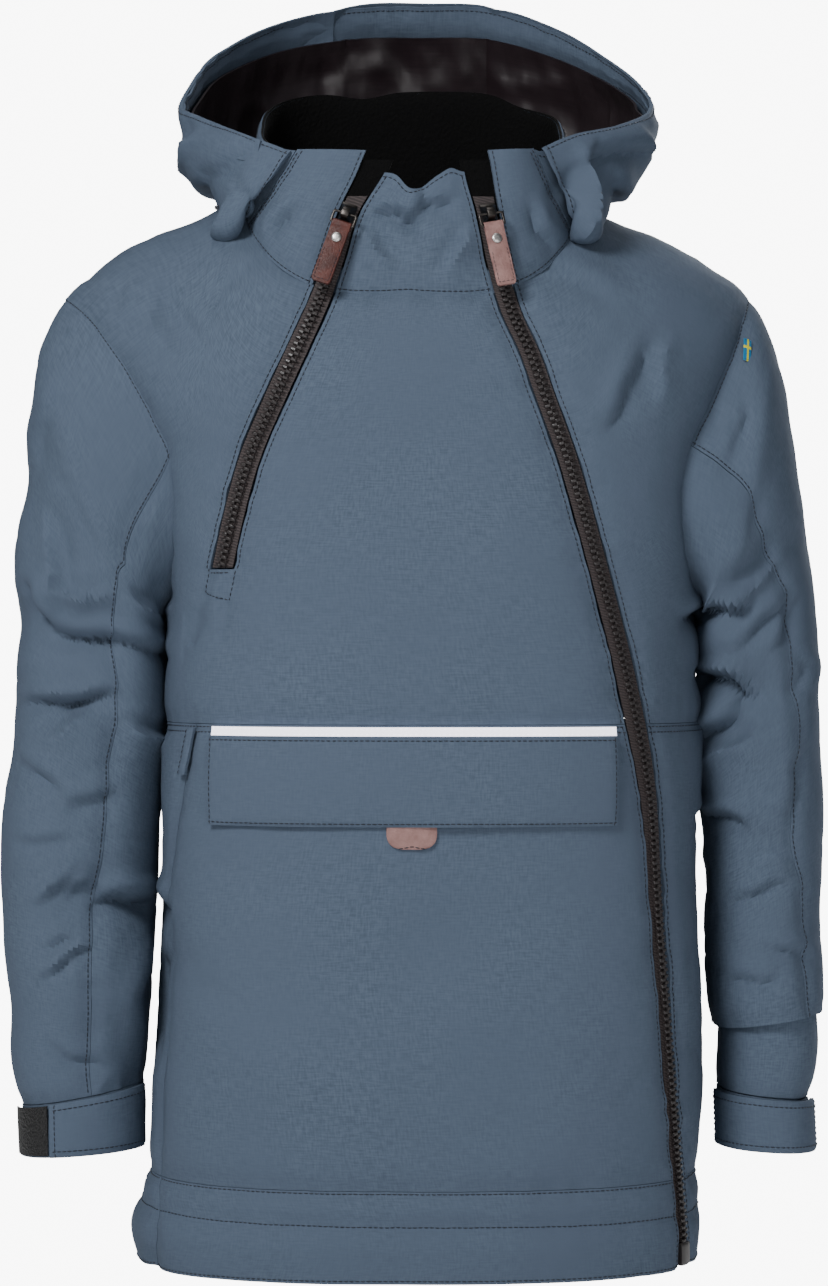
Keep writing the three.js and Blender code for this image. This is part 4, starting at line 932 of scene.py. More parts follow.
class Piece:
    """A piece of cloth: its plain surface, its relief and its mesh."""

    def __init__(self, name, cloth, grid, seams="lrbt", keep=None, closed=False):
        self.name = name
        self.plain, self.ways = cloth(*grid)
        self.seams = seams
        self.keep = keep
        self.closed = closed
        self.outer = self.plain

    def edge(self, side, grid=None):
        grid = self.plain if grid is None else grid
        return {"l": grid[:, 0], "r": grid[:, -1], "b": grid[0], "t": grid[-1]}[side]

    def raise_by(self, height, thick, lift=0.0):
        self.outer = self.plain + self.ways * (height + lift)[..., None]
        self.inner = self.plain + self.ways * (height + lift - thick)[..., None]

    def lengths(self):
        across = np.linalg.norm(np.diff(self.plain, axis=1), axis=-1).sum(axis=1)
        up = np.linalg.norm(np.diff(self.plain, axis=0), axis=-1).sum(axis=0)
        return across, up

    def area(self):
        across = np.diff(self.plain, axis=1)[:-1]
        up = np.diff(self.plain, axis=0)[:, :-1]
        cells = np.linalg.norm(np.cross(across, up), axis=-1)
        return float((cells if self.keep is None else cells * self.keep).sum())

    def inset(self, side, distance):
        """A line on the face at a distance in from an edge, with the ways out beside it."""
        axis_first = side in "lr"
        points = self.outer if axis_first else self.outer.transpose(1, 0, 2)
        ways = self.ways if axis_first else self.ways.transpose(1, 0, 2)
        if side in "rt":
            points, ways = points[:, ::-1], ways[:, ::-1]
        line, outs = [], []
        for spots, out in zip(points, ways):
            length = lengths_along(spots)
            line.append([np.interp(distance, length, spots[:, axis]) for axis in range(3)])
            outs.append([np.interp(distance, length, out[:, axis]) for axis in range(3)])
        return np.array(line), unit(np.array(outs))


def as_given(points, ways):
    """The surface of a piece whose points and ways out are already worked out."""
    return points, ways


def mesh_object(name, points, faces, uvs=None, sharp=40):
    mesh = bpy.data.meshes.new(name)
    mesh.from_pydata((np.asarray(points) * MM).tolist(), [], faces)
    if uvs is not None:
        layer = mesh.uv_layers.new(name="Cloth")
        corners = np.zeros(len(mesh.loops), int)
        mesh.loops.foreach_get("vertex_index", corners)
        layer.data.foreach_set("uv", np.asarray(uvs)[corners].ravel())
    mesh.validate()
    mesh.shade_smooth()
    if sharp:
        mesh.set_sharp_from_angle(angle=sharp * DEGREE)
    made = bpy.data.objects.new(name, mesh)
    bpy.context.scene.collection.objects.link(made)
    return made


def wall_mesh(piece, name=None):
    """A closed wall between a piece's outer and inner grids, with the weave laid out in metres."""
    rows, columns = piece.outer.shape[0] - 1, piece.outer.shape[1] - 1
    count = (rows + 1) * (columns + 1)
    index = np.arange(count).reshape(rows + 1, columns + 1)
    if piece.closed:
        index[:, -1] = index[:, 0]
    keep = np.ones((rows, columns), bool) if piece.keep is None else piece.keep
    a, b = index[:-1, :-1][keep], index[:-1, 1:][keep]
    c, d = index[1:, 1:][keep], index[1:, :-1][keep]
    quads = [np.stack([a, b, c, d], -1), np.stack([a, d, c, b], -1) + [count] * 4]
    padded = np.pad(keep, 1)
    if piece.closed:
        padded[:, 0], padded[:, -1] = padded[:, -2], padded[:, 1]
    sides = (
        (padded[:-2, 1:-1], index[:-1, :-1], index[:-1, 1:]),
        (padded[2:, 1:-1], index[1:, 1:], index[1:, :-1]),
        (padded[1:-1, :-2], index[1:, :-1], index[:-1, :-1]),
        (padded[1:-1, 2:], index[:-1, 1:], index[1:, 1:]),
    )
    for beside, start, end in sides:
        bare = keep & ~beside
        first, last = start[bare], end[bare]
        quads.append(np.stack([last, first, first + count, last + count], -1))
    faces = np.concatenate(quads)
    points = np.concatenate([piece.outer.reshape(-1, 3), piece.inner.reshape(-1, 3)])
    corners = points[faces]
    volume = np.einsum("ij,ij->", corners[:, 0], np.cross(corners[:, 1], corners[:, 2]))
    volume += np.einsum("ij,ij->", corners[:, 0], np.cross(corners[:, 2], corners[:, 3]))
    if volume < 0:
        faces = faces[:, ::-1]
    across, up = piece.lengths()
    s, t = np.meshgrid(np.linspace(0, across.mean(), columns + 1), np.linspace(0, up.mean(), rows + 1))
    uv = np.stack([s, t], -1).reshape(-1, 2) * MM
    used = np.unique(faces)
    names = np.zeros(len(points), int)
    names[used] = np.arange(len(used))
    uvs = np.concatenate([uv, uv])[used]
    return mesh_object(name or piece.name, points[used], names[faces].tolist(), uvs)


def sew(lines, name, finish, body_name="garment", pitch=3.3, long=2.6, thick=0.36):
    """Stitches along lines of points and ways out, joined as one mesh."""
    sides = 5
    points, faces, count = [], [], 0
    for line, ways in lines:
        length = lengths_along(line)
        starts = np.arange(0.4, length[-1] - long, pitch)
        if not len(starts):
            continue
        at = np.stack([starts, starts + long / 2, starts + long], axis=1)
        spot = read_along(line, length, at)
        out = unit(read_along(ways, length, at))
        along = unit(spot[:, 2] - spot[:, 0])[:, None]
        across = unit(np.cross(along, out))
        middle = spot + out * np.array([-0.1, 0.3, -0.1])[None, :, None]
        turns = np.linspace(0, 2 * math.pi, sides, endpoint=False)[None, None, :, None]
        spread = across[:, :, None] * np.cos(turns) + out[:, :, None] * np.sin(turns)
        size = thick * np.array([0.6, 1.0, 0.6])[None, :, None, None]
        points.append((middle[:, :, None] + spread * size).reshape(-1, 3))
        first = count + np.arange(len(starts)) * 3 * sides
        for ring, k in product(range(2), range(sides)):
            a, b = ring * sides + k, ring * sides + (k + 1) % sides
            corners = [first + a, first + b, first + b + sides, first + a + sides]
            faces.extend(np.stack(corners, 1).tolist())
        for ends in (range(sides)[::-1], range(2 * sides, 3 * sides)):
            faces.extend(np.stack([first + k for k in ends], 1).tolist())
        count += len(starts) * 3 * sides
    made = mesh_object(name, np.concatenate(points), faces, sharp=0)
    made.data.materials.append(finish)
    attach(made, body_name)
    return made


# --- Materials -----------------------------------------------------------------------------------


def rgb(text):
    """Linear colour of a hex colour."""
    parts = [int(text[k : k + 2], 16) / 255 for k in (1, 3, 5)]
    return (*(c / 12.92 if c <= 0.04045 else ((c + 0.055) / 1.055) ** 2.4 for c in parts), 1.0)


def add(tree, kind, inputs=None, **settings):
    """Adds a node with its settings, and with values or links on its sockets."""
    made = tree.nodes.new(kind)
    for name, value in settings.items():
        setattr(made, name, value)
    for name, value in (inputs or {}).items():
        if isinstance(value, bpy.types.NodeSocket):
            tree.links.new(value, made.inputs[name])
        else:
            made.inputs[name].default_value = value
    return made


def new_material(name):
    """A material with its tree, its cloth coordinates in metres and its shader."""
    made = bpy.data.materials.get(name)
    if made:
        bpy.data.materials.remove(made)
    made = bpy.data.materials.new(name)
    made.use_nodes = True
    tree = made.node_tree
    tree.nodes.clear()
    coordinates = add(tree, "ShaderNodeTexCoord")
    shader = add(tree, "ShaderNodeBsdfPrincipled")
    add(tree, "ShaderNodeOutputMaterial", {"Surface": shader.outputs[0]})
    return made, tree, coordinates, shader


def lumps(tree, vector, sizes, detail=2.0):
    """Noise whose lumps have a size along each coordinate, in metres."""
    scaled = add(tree, "ShaderNodeMapping", {"Vector": vector, "Scale": [1 / size for size in sizes]})
    return add(
        tree, "ShaderNodeTexNoise", {"Vector": scaled.outputs[0], "Scale": 1.0, "Detail": detail}
    ).outputs["Fac"]


def blend_colors(tree, factor, first, second):
    return add(
        tree, "ShaderNodeMix", {0: factor, 6: first, 7: second}, data_type="RGBA"
    ).outputs[2]


def spread(tree, value, low, high):
    return add(
        tree, "ShaderNodeMapRange", {"Value": value, "From Min": low, "From Max": high}
    ).outputs[0]


def average(tree, *values):
    total = values[0]
    for value in values[1:]:
        total = add(tree, "ShaderNodeMath", {0: total, 1: value}, operation="ADD").outputs[0]
    return add(
        tree, "ShaderNodeMath", {0: total, 1: 1 / len(values)}, operation="MULTIPLY"
    ).outputs[0]


def bump(tree, height, distance, strength=1.0, normal=None):
    inputs = {"Height": height, "Distance": distance, "Strength": strength}
    if normal is not None:
        inputs["Normal"] = normal
    return add(tree, "ShaderNodeBump", inputs).outputs[0]


def finish_shader(shader, tree, **values):
    for name, value in values.items():
        socket = shader.inputs[name.replace("_", " ")]
        if isinstance(value, bpy.types.NodeSocket):
            tree.links.new(value, socket)
        else:
            socket.default_value = value


def shell_cloth():
    """Plain-woven polyester with slubs in both threads, dyed slate blue and matt."""
    made, tree, at, shader = new_material("shell_cloth")
    cloth = at.outputs["UV"]
    # Slubs: short thick stretches of weft and warp, which give the fine mottled streaks
    weft = lumps(tree, cloth, (0.0075, 0.0011, 1.0))
    warp = lumps(tree, cloth, (0.0012, 0.0065, 1.0))
    threads = average(tree, weft, warp)
    # Uneven dyeing and rubbing: broad, faint
    broad = lumps(tree, at.outputs["Object"], (0.07, 0.07, 0.07))
    mottled = blend_colors(tree, spread(tree, threads, 0.36, 0.64), rgb("#4a5666"), rgb("#596677"))
    worn = blend_colors(tree, spread(tree, broad, 0.3, 0.75), mottled, rgb("#515d6e"))
    # Small crinkles of the thin shell over its wadding
    crinkle = lumps(tree, at.outputs["Object"], (0.012, 0.012, 0.008), 3.0)
    small = bump(tree, threads, 0.0003, 0.4)
    relief_normal = bump(tree, crinkle, 0.0016, 0.3, small)
    finish_shader(
        shader, tree, Base_Color=worn, Roughness=0.9, IOR=1.5, Normal=relief_normal,
        Specular_IOR_Level=0.12,
    )
    return made


def thread():
    """Navy polyester sewing thread, spun and slightly glossy."""
    made, tree, at, shader = new_material("thread_navy")
    twist = lumps(tree, at.outputs["Object"], (0.0006, 0.0006, 0.0006))
    tone = blend_colors(tree, twist, rgb("#10151f"), rgb("#1c2433"))
    finish_shader(shader, tree, Base_Color=tone, Roughness=0.55)
    return made


def satin():
    """Acetate satin lining, dark brown-black, whose long floats give a soft gloss."""
    made, tree, at, shader = new_material("satin_lining")
    floats = lumps(tree, at.outputs["UV"], (0.03, 0.0008, 1.0))
    creased = lumps(tree, at.outputs["Object"], (0.014, 0.018, 0.03), 1.0)
    tone = blend_colors(tree, floats, rgb("#1a1417"), rgb("#2a2024"))
    normal = bump(tree, creased, 0.004, 0.6, bump(tree, floats, 0.0001, 0.4))
    finish_shader(
        shader, tree, Base_Color=tone, Roughness=0.4, IOR=1.48, Normal=normal,
        Anisotropic=0.5,
    )
    return made


def fleece():
    """Knitted polyester fleece, black, with a short brushed pile."""
    made, tree, at, shader = new_material("black_fleece")
    pile = lumps(tree, at.outputs["Object"], (0.0022, 0.0022, 0.0022), 4.0)
    tone = blend_colors(tree, pile, rgb("#030303"), rgb("#0a0a0b"))
    normal = bump(tree, pile, 0.0014, 0.9)
    finish_shader(
        shader, tree, Base_Color=tone, Roughness=0.95, Normal=normal, Specular_IOR_Level=0.15,
    )
    return made


def zip_tape():
    """Woven polyester zip tape, dark brown, ribbed across by its herringbone weave."""
    made, tree, at, shader = new_material("zip_tape")
    scaled = add(tree, "ShaderNodeMapping", {"Vector": at.outputs["UV"], "Scale": (300.0, 1100.0, 1.0)})
    ribs = add(
        tree, "ShaderNodeTexWave", {"Vector": scaled.outputs[0], "Scale": 0.32, "Distortion": 0.6},
        bands_direction="DIAGONAL",
    ).outputs["Fac"]
    tone = blend_colors(tree, ribs, rgb("#2c2627"), rgb("#453c3c"))
    finish_shader(shader, tree, Base_Color=tone, Roughness=0.8, Normal=bump(tree, ribs, 0.0003, 0.7))
    return made


def moulded_teeth():
    """Acetal teeth moulded on the tape, glossy, with a faint flow mark."""
    made, tree, at, shader = new_material("moulded_teeth")
    flow = lumps(tree, at.outputs["Object"], (0.003, 0.003, 0.003))
    tone = blend_colors(tree, flow, rgb("#221f21"), rgb("#35302f"))
    gloss = spread(tree, flow, -1.2, 3.2)
    finish_shader(shader, tree, Base_Color=tone, Roughness=gloss, IOR=1.48)
    return made


def nickel():
    """Die-cast zinc plated with nickel, tumbled to a soft shine."""
    made, tree, at, shader = new_material("nickel_metal")
    tumbled = lumps(tree, at.outputs["Object"], (0.0009, 0.0009, 0.0009), 4.0)
    tone = blend_colors(tree, tumbled, rgb("#a8a5a3"), rgb("#d4d2cf"))
    rough = spread(tree, tumbled, -1.0, 3.0)
    finish_shader(
        shader, tree, Base_Color=tone, Metallic=1.0, Roughness=rough,
        Normal=bump(tree, tumbled, 0.0001, 0.3),
    )
    return made


def black_nickel():
    """Zinc die casting plated with black nickel: dark and shiny, as zip sliders are."""
    made, tree, at, shader = new_material("black_nickel")
    tumbled = lumps(tree, at.outputs["Object"], (0.0012, 0.0012, 0.0012), 4.0)
    tone = blend_colors(tree, tumbled, rgb("#3a3736"), rgb("#56524f"))
    finish_shader(
        shader, tree, Base_Color=tone, Metallic=1.0, Roughness=spread(tree, tumbled, -0.9, 2.6),
        Normal=bump(tree, tumbled, 0.0001, 0.3),
    )
    return made


def leather(name, dark, light):
    """Drum-dyed cowhide, cut as a tab: pebbled grain, waxed and a little glossy."""
    made, tree, at, shader = new_material(name)
    spot = at.outputs["Object"]
    scaled = add(tree, "ShaderNodeMapping", {"Vector": spot, "Scale": (900.0, 900.0, 900.0)})
    cells = add(
        tree, "ShaderNodeTexVoronoi", {"Vector": scaled.outputs[0], "Scale": 1.0},
        feature="SMOOTH_F1",
    ).outputs["Distance"]
    dye = lumps(tree, spot, (0.007, 0.007, 0.007), 4.0)
    tone = blend_colors(tree, spread(tree, dye, 0.3, 0.7), rgb(dark), rgb(light))
    finish_shader(
        shader, tree, Base_Color=tone, Roughness=spread(tree, cells, -1.1, 1.6), IOR=1.45,
        Normal=bump(tree, cells, 0.0004, 0.6),
    )
    return made


def reflective_tape():
    """Tape of tiny glass beads on white cloth: pale and cool, and it emits its own colour, a painted
    glow with a fine painted sparkle for the light that the beads throw back.
    """
    made, tree, at, shader = new_material("reflective_tape")
    beads = lumps(tree, at.outputs["Object"], (0.0008, 0.0008, 0.0008), 3.0)
    tone = blend_colors(tree, beads, rgb("#e4e2f0"), rgb("#faf8ff"))
    # Painted light: the emission below makes the tape glow like a lamp.
    finish_shader(
        shader, tree, Base_Color=tone, Roughness=0.38, IOR=1.9, Normal=bump(tree, beads, 0.0002, 0.4),
        Emission_Color=tone, Emission_Strength=2.0,
    )
    return made


def hook_patch():
    """Woven nylon hook tape, black, with rows of stiff hooks."""
    made, tree, at, shader = new_material("hook_patch")
    scaled = add(tree, "ShaderNodeMapping", {"Vector": at.outputs["UV"], "Scale": (700.0, 700.0, 1.0)})
    hooks = add(
        tree, "ShaderNodeTexVoronoi", {"Vector": scaled.outputs[0], "Scale": 1.0}
    ).outputs["Distance"]
    tone = blend_colors(tree, hooks, rgb("#121214"), rgb("#050506"))
    finish_shader(shader, tree, Base_Color=tone, Roughness=0.6, Normal=bump(tree, hooks, 0.0009, 1.0))
    return made


def flag_cloth():
    """Printed satin label: a yellow cross on blue, its long side up the label."""
    made, tree, at, shader = new_material("flag_label")
    spot = add(tree, "ShaderNodeSeparateXYZ", {"Vector": at.outputs["UV"]})
    bars = [
        add(tree, "ShaderNodeMath", {0: spot.outputs[axis], 1: middle, 2: half}, operation="COMPARE")
        for axis, middle, half in ((0, 0.003, 0.0008), (1, 0.0088, 0.0009))
    ]
    cross = add(
        tree, "ShaderNodeMath", {0: bars[0].outputs[0], 1: bars[1].outputs[0]}, operation="MAXIMUM"
    )
    weave = lumps(tree, at.outputs["UV"], (0.0009, 0.0003, 1.0))
    tone = blend_colors(tree, cross.outputs[0], rgb("#1e7fb0"), rgb("#e8e034"))
    finish_shader(shader, tree, Base_Color=tone, Roughness=0.5, Normal=bump(tree, weave, 0.0002, 0.5))
    return made


def stage_paper(brightness):
    """Matt white background paper, barely uneven, lit so evenly that its edge is lost in the room."""
    made, tree, at, shader = new_material("background_paper")
    fibre = lumps(tree, at.outputs["Object"], (0.25, 0.25, 0.25))
    tone = blend_colors(tree, fibre, rgb("#fafafa"), rgb("#fdfdfd"))
    finish_shader(shader, tree, Base_Color=tone, Roughness=0.9)
    glow = add(tree, "ShaderNodeEmission", {"Color": tone, "Strength": brightness})
    output = next(node for node in tree.nodes if node.type == "OUTPUT_MATERIAL")
    tree.links.new(to_the_eye(tree, shader, glow), output.inputs["Surface"])
    return made


def to_the_eye(tree, plain, bright):
    """One shader for the light that reaches the cloth and another for what is seen directly."""
    seen = add(tree, "ShaderNodeLightPath").outputs["Is Camera Ray"]
    looks = {0: seen, 1: plain.outputs[0], 2: bright.outputs[0]}
    return add(tree, "ShaderNodeMixShader", looks).outputs[0]


MATERIALS = {}


def materials():
    """The garment's materials, made once."""
    if not MATERIALS:
        MATERIALS.update(
            shell=shell_cloth(), thread=thread(), satin=satin(), fleece=fleece(), tape=zip_tape(),
            teeth=moulded_teeth(), metal=nickel(), dark_metal=black_nickel(),
            leather_dark=leather("leather_dark", "#3a1611", "#552820"),
            leather_pale=leather("leather_pale", "#7b5a56", "#9a7772"),
            # The reflective tape's material has a painted glow: it emits its own colour.
            reflective=reflective_tape(), hook=hook_patch(), flag=flag_cloth(),
        )
    return MATERIALS


# --- Pieces of cloth -----------------------------------------------------------------------------


def place_cloth(piece, finish, body_name="garment", node=None, declare=True):
    """Makes a piece's mesh, which stands for its CAD node, hides the node and works out the size of its
    cut.
    """
    made = wall_mesh(piece, f"{piece.name}_cloth")
    made.data.materials.append(materials()[finish])
    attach(made, body_name)
    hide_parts(node or piece.name)
    if declare:
        across, up = piece.lengths()
        # A cut narrower than 10 mm is taken as 10 mm wide, with its true area; nothing uses these
        # sizes. A cut narrower than 10 mm is stated as 10 mm wide, with its true area
        width, length = (max(float(size.max()) * MM, 0.0101) for size in (across, up))
        area = min(piece.area() * MM * MM, width * length)
    return made


def seams_of(pieces, *lines):
    """The seams of some pieces of cloth, and other lines that draw them in."""
    found = Seams()
    for piece in pieces:
        for side in piece.seams:
            found.add(piece.edge(side))
    for line in lines:
        found.add(line)
    found.close()
    return found


KEPT = {}


def numbers(scene):
    return scene.anorak_cloth


def make_body(scene):
    """The body's nine pieces, with their seams drawn in and sewn."""
    settings = numbers(scene)
    cell = settings.cell
    shoulder, slot, centre, side, rows = front_grids(cell)
    joined = side_by_side(shoulder, slot, centre)
    keep = np.ones((rows, joined[0].shape[1] - 1), bool)
    first = shoulder[0].shape[1] - 1
    keep[rows // 3 :, first : first + slot[0].shape[1] - 1] = False
    pieces = [
        Piece("front_main_upper", body, joined, keep=keep),
        Piece("front_side_upper", body, side),
        Piece("back_upper", body, back_grid(cell)),
    ]
    left_seam = lambda z: read(LEFT_SIDE_SEAM, 1, z)
    spans = (
        ("{}_lower", HEM_SEAM_Z + HALF, CHEST_SEAM_Z - HALF, round(274 / cell), "lrbt"),
        ("hem_{}", HEM_BOTTOM_Z, HEM_SEAM_Z - HALF, round(54 / cell), "lrt"),
    )
    main_from = angle_at(lambda z: left_seam(z) + HALF)
    main_to = angle_at(zip_line(LONG_ZIP, -1, -HALF))
    side_from = angle_at(zip_line(LONG_ZIP, 1, HALF))
    back_to = angle_at(lambda z: left_seam(z) - HALF)
    for pattern, bottom, top, band_rows, edges in spans:
        grids = {
            "front_main": band_grid(main_from, main_to, bottom, top, round(330 / cell), band_rows),
            "front_side": band_grid(
                side_from, lambda z: np.full(np.shape(z), -SIDE_GAP), bottom, top,
                round(90 / cell), band_rows,
            ),
            "back": band_grid(
                lambda z: np.full(np.shape(z), SIDE_GAP), lambda z: 2 * math.pi + back_to(z),
                bottom, top, round(500 / cell), band_rows,
            ),
        }
        for part, grid in grids.items():
            pieces.append(Piece(pattern.format(part), body, grid, edges))
    slot_edges = [
        Piece("slot", body, part).edge(side)[rows // 3 :]
        for part, side in ((shoulder, "r"), (centre, "l"))
    ]
    casing = [
        piece.inset("t", CASING_DEEP)[0] for piece in pieces if piece.name.startswith("hem_")
    ]
    seams = seams_of(pieces, *slot_edges, *casing)
    KEPT["body_seams"] = seams
    for piece in pieces:
        piece.raise_by(relief(piece.plain, seams, settings), PADDED)
        place_cloth(piece, "shell")
        KEPT[piece.name] = piece
    sew_body(first, slot[0].shape[1] - 1, rows)


def edge_stitch(name, side, *distances):
    return [KEPT[name].inset(side, distance) for distance in distances]


def zip_stitch(name, column, row, direction, distance):
    """A line beside a zip's slot, at a distance from a column of the piece."""
    piece = KEPT[name]
    part = slice(column, None) if direction > 0 else slice(None, column + 1)
    side = "l" if direction > 0 else "r"
    line = Piece(name, as_given, (piece.outer[row:, part], piece.ways[row:, part]))
    return line.inset(side, distance)


def sew_body(first, wide, rows):
    top_stitch = []
    for name, side, distances in (
        ("front_main_lower", "t", (1.6, 5.0)),
        ("front_side_lower", "t", (1.6, 5.0)),
        ("back_lower", "t", (1.6, 5.0)),
        ("front_main_lower", "r", (ZIP_STITCH,)),
        ("front_side_lower", "l", (ZIP_STITCH,)),
        ("front_main_upper", "r", (ZIP_STITCH,)),
        ("front_side_upper", "l", (ZIP_STITCH,)),
        ("hem_front_main", "r", (ZIP_STITCH,)),
        ("hem_front_side", "l", (ZIP_STITCH,)),
        ("hem_front_main", "t", (1.4, CASING_DEEP)),
        ("hem_front_side", "t", (1.4, CASING_DEEP)),
        ("hem_back", "t", (1.4, CASING_DEEP)),
        ("hem_front_main", "b", (2.0,)),
        ("hem_front_side", "b", (2.0,)),
        ("hem_back", "b", (2.0,)),
    ):
        top_stitch += edge_stitch(name, side, *distances)
    top_stitch.append(zip_stitch("front_main_upper", first, rows // 3, -1, ZIP_STITCH))
    top_stitch.append(zip_stitch("front_main_upper", first + wide, rows // 3, 1, ZIP_STITCH))
    for line in (STOP_OUTLINE, STOP_CROSSING):
        top_stitch.append(surface_line(np.array(line), KEPT["body_seams"]))
    sew(top_stitch, "body_stitches", materials()["thread"])


def surface_line(corners, seams):
    """A line on the front's face through points that the front shows, and the ways out beside it."""
    settings = numbers(bpy.context.scene)
    length = lengths_along(corners)
    at = np.arange(0, length[-1], 1.5)
    x, z = (np.interp(at, length, corners[:, axis]) for axis in (0, 1))
    spots, ways = body(*body_place(-1, x, z))
    return spots + ways * relief(spots, seams, settings)[..., None], ways


def trim_piece(name, settings, left, right, bottom, top, thick, lift, columns, rows, corner=0.0):
    """A flat piece on the front between heights and sides, its lower corners cut to a radius."""
    t, s = shares(rows, columns)
    x, z = left + (right - left) * s, bottom + (top - bottom) * t
    if corner:
        drop = np.maximum(0, 1 - (z - bottom) / corner)
        narrow = corner * (1 - np.sqrt(np.maximum(0, 1 - drop**2)))
        middle = (left + right) / 2
        x = middle + (x - middle) * (1 - 2 * narrow / (right - left))
    piece = Piece(name, body, body_place(-1, x, z))
    under = relief(piece.plain, KEPT["body_seams"], settings, share=0.45)
    piece.raise_by(under, thick, lift + thick)
    return piece, s, t


def make_front_trim(scene):
    """The reflective strip, the pocket's flap, its leather tab and the left pocket's welt."""
    settings = numbers(scene)
    lift = OVERLAY_LIFT
    fine = settings.cell * 0.8
    strip, _, _ = trim_piece("reflective_strip", settings, **STRIP, lift=lift, columns=120, rows=4)
    # The strip takes the tape's glowing material, with its painted glow.
    place_cloth(strip, "reflective")
    flap, s, t = trim_piece(
        "pocket_flap",
        settings,
        **FLAP,
        lift=lift + 2.6,
        columns=round(240 / fine),
        rows=round(53 / fine),
    )
    # The flap is fixed along its top and bellies out over the pocket, flattening at its free edges
    belly = 2.2 * np.sin(np.pi * np.clip(1 - t, 0, 1) * 0.9) * (0.55 + 0.45 * np.sin(np.pi * s))
    curl = 1.6 * np.exp(-t * 9) * noise(flap.plain + 5, 38.0)
    edge = 1.3 * np.exp(-np.minimum.reduce([s * 238, (1 - s) * 238, t * 52]) / 1.4)
    height = relief(flap.plain, None, settings, share=0.35) * 0.6 + belly + curl - edge
    flap.raise_by(height, FLAP["thick"], lift + 2.6 + FLAP["thick"] - 1.0)
    place_cloth(flap, "shell")
    KEPT["pocket_flap"] = flap
    tab, s, t = trim_piece(
        "pocket_pull_tab", settings, **PULL_TAB, lift=lift + 0.8, columns=28, rows=20
    )
    rounded = np.minimum.reduce([s * 29.5, (1 - s) * 29.5, t * 22])
    tab.raise_by(-0.6 * np.exp(-rounded / 0.7), PULL_TAB["thick"], lift + 0.8 + PULL_TAB["thick"])
    place_cloth(tab, "leather_pale")
    rows = 24
    t, s = np.meshgrid(np.linspace(0, 1, rows + 1), np.linspace(0, 1, 7), indexing="ij")
    z = WELT["bottom"] + (WELT["top"] - WELT["bottom"]) * t
    x = read(LEFT_SIDE_SEAM, 1, z) + WELT["half"] * (2 * s - 1)
    welt = Piece("pocket_welt_left", body, body_place(-1, x, z))
    bulge = 0.9 * np.sin(np.pi * s) + 0.25 * noise(welt.plain, 8.0)
    welt.raise_by(bulge - 0.4, WELT["thick"], lift + WELT["thick"])
    place_cloth(welt, "shell")
    lines = [flap.inset("b", 2.2), flap.inset("l", 2.2), flap.inset("r", 2.2), flap.inset("t", 2.0)]
    lines += [welt.inset("l", 0.8), tab.inset("b", 1.8)]
    sew(lines, "trim_stitches", materials()["thread"])
    # The strip's stitches take the same material and glow with its painted emission too.
    sew(
        [strip.inset("t", 0.9), strip.inset("b", 0.9)], "strip_stitches", materials()["reflective"],
        thick=0.16,
    )


def collar_grid(start, end, top, foot, columns, rows):
    t, s = shares(rows, columns)
    share = foot + (top(s) - foot) * t
    first, last = start(share), end(share)
    return first + (last - first) * s, share


def collar_line(line_x, shift):
    return lambda share: collar_angle(line_x, share) + shift


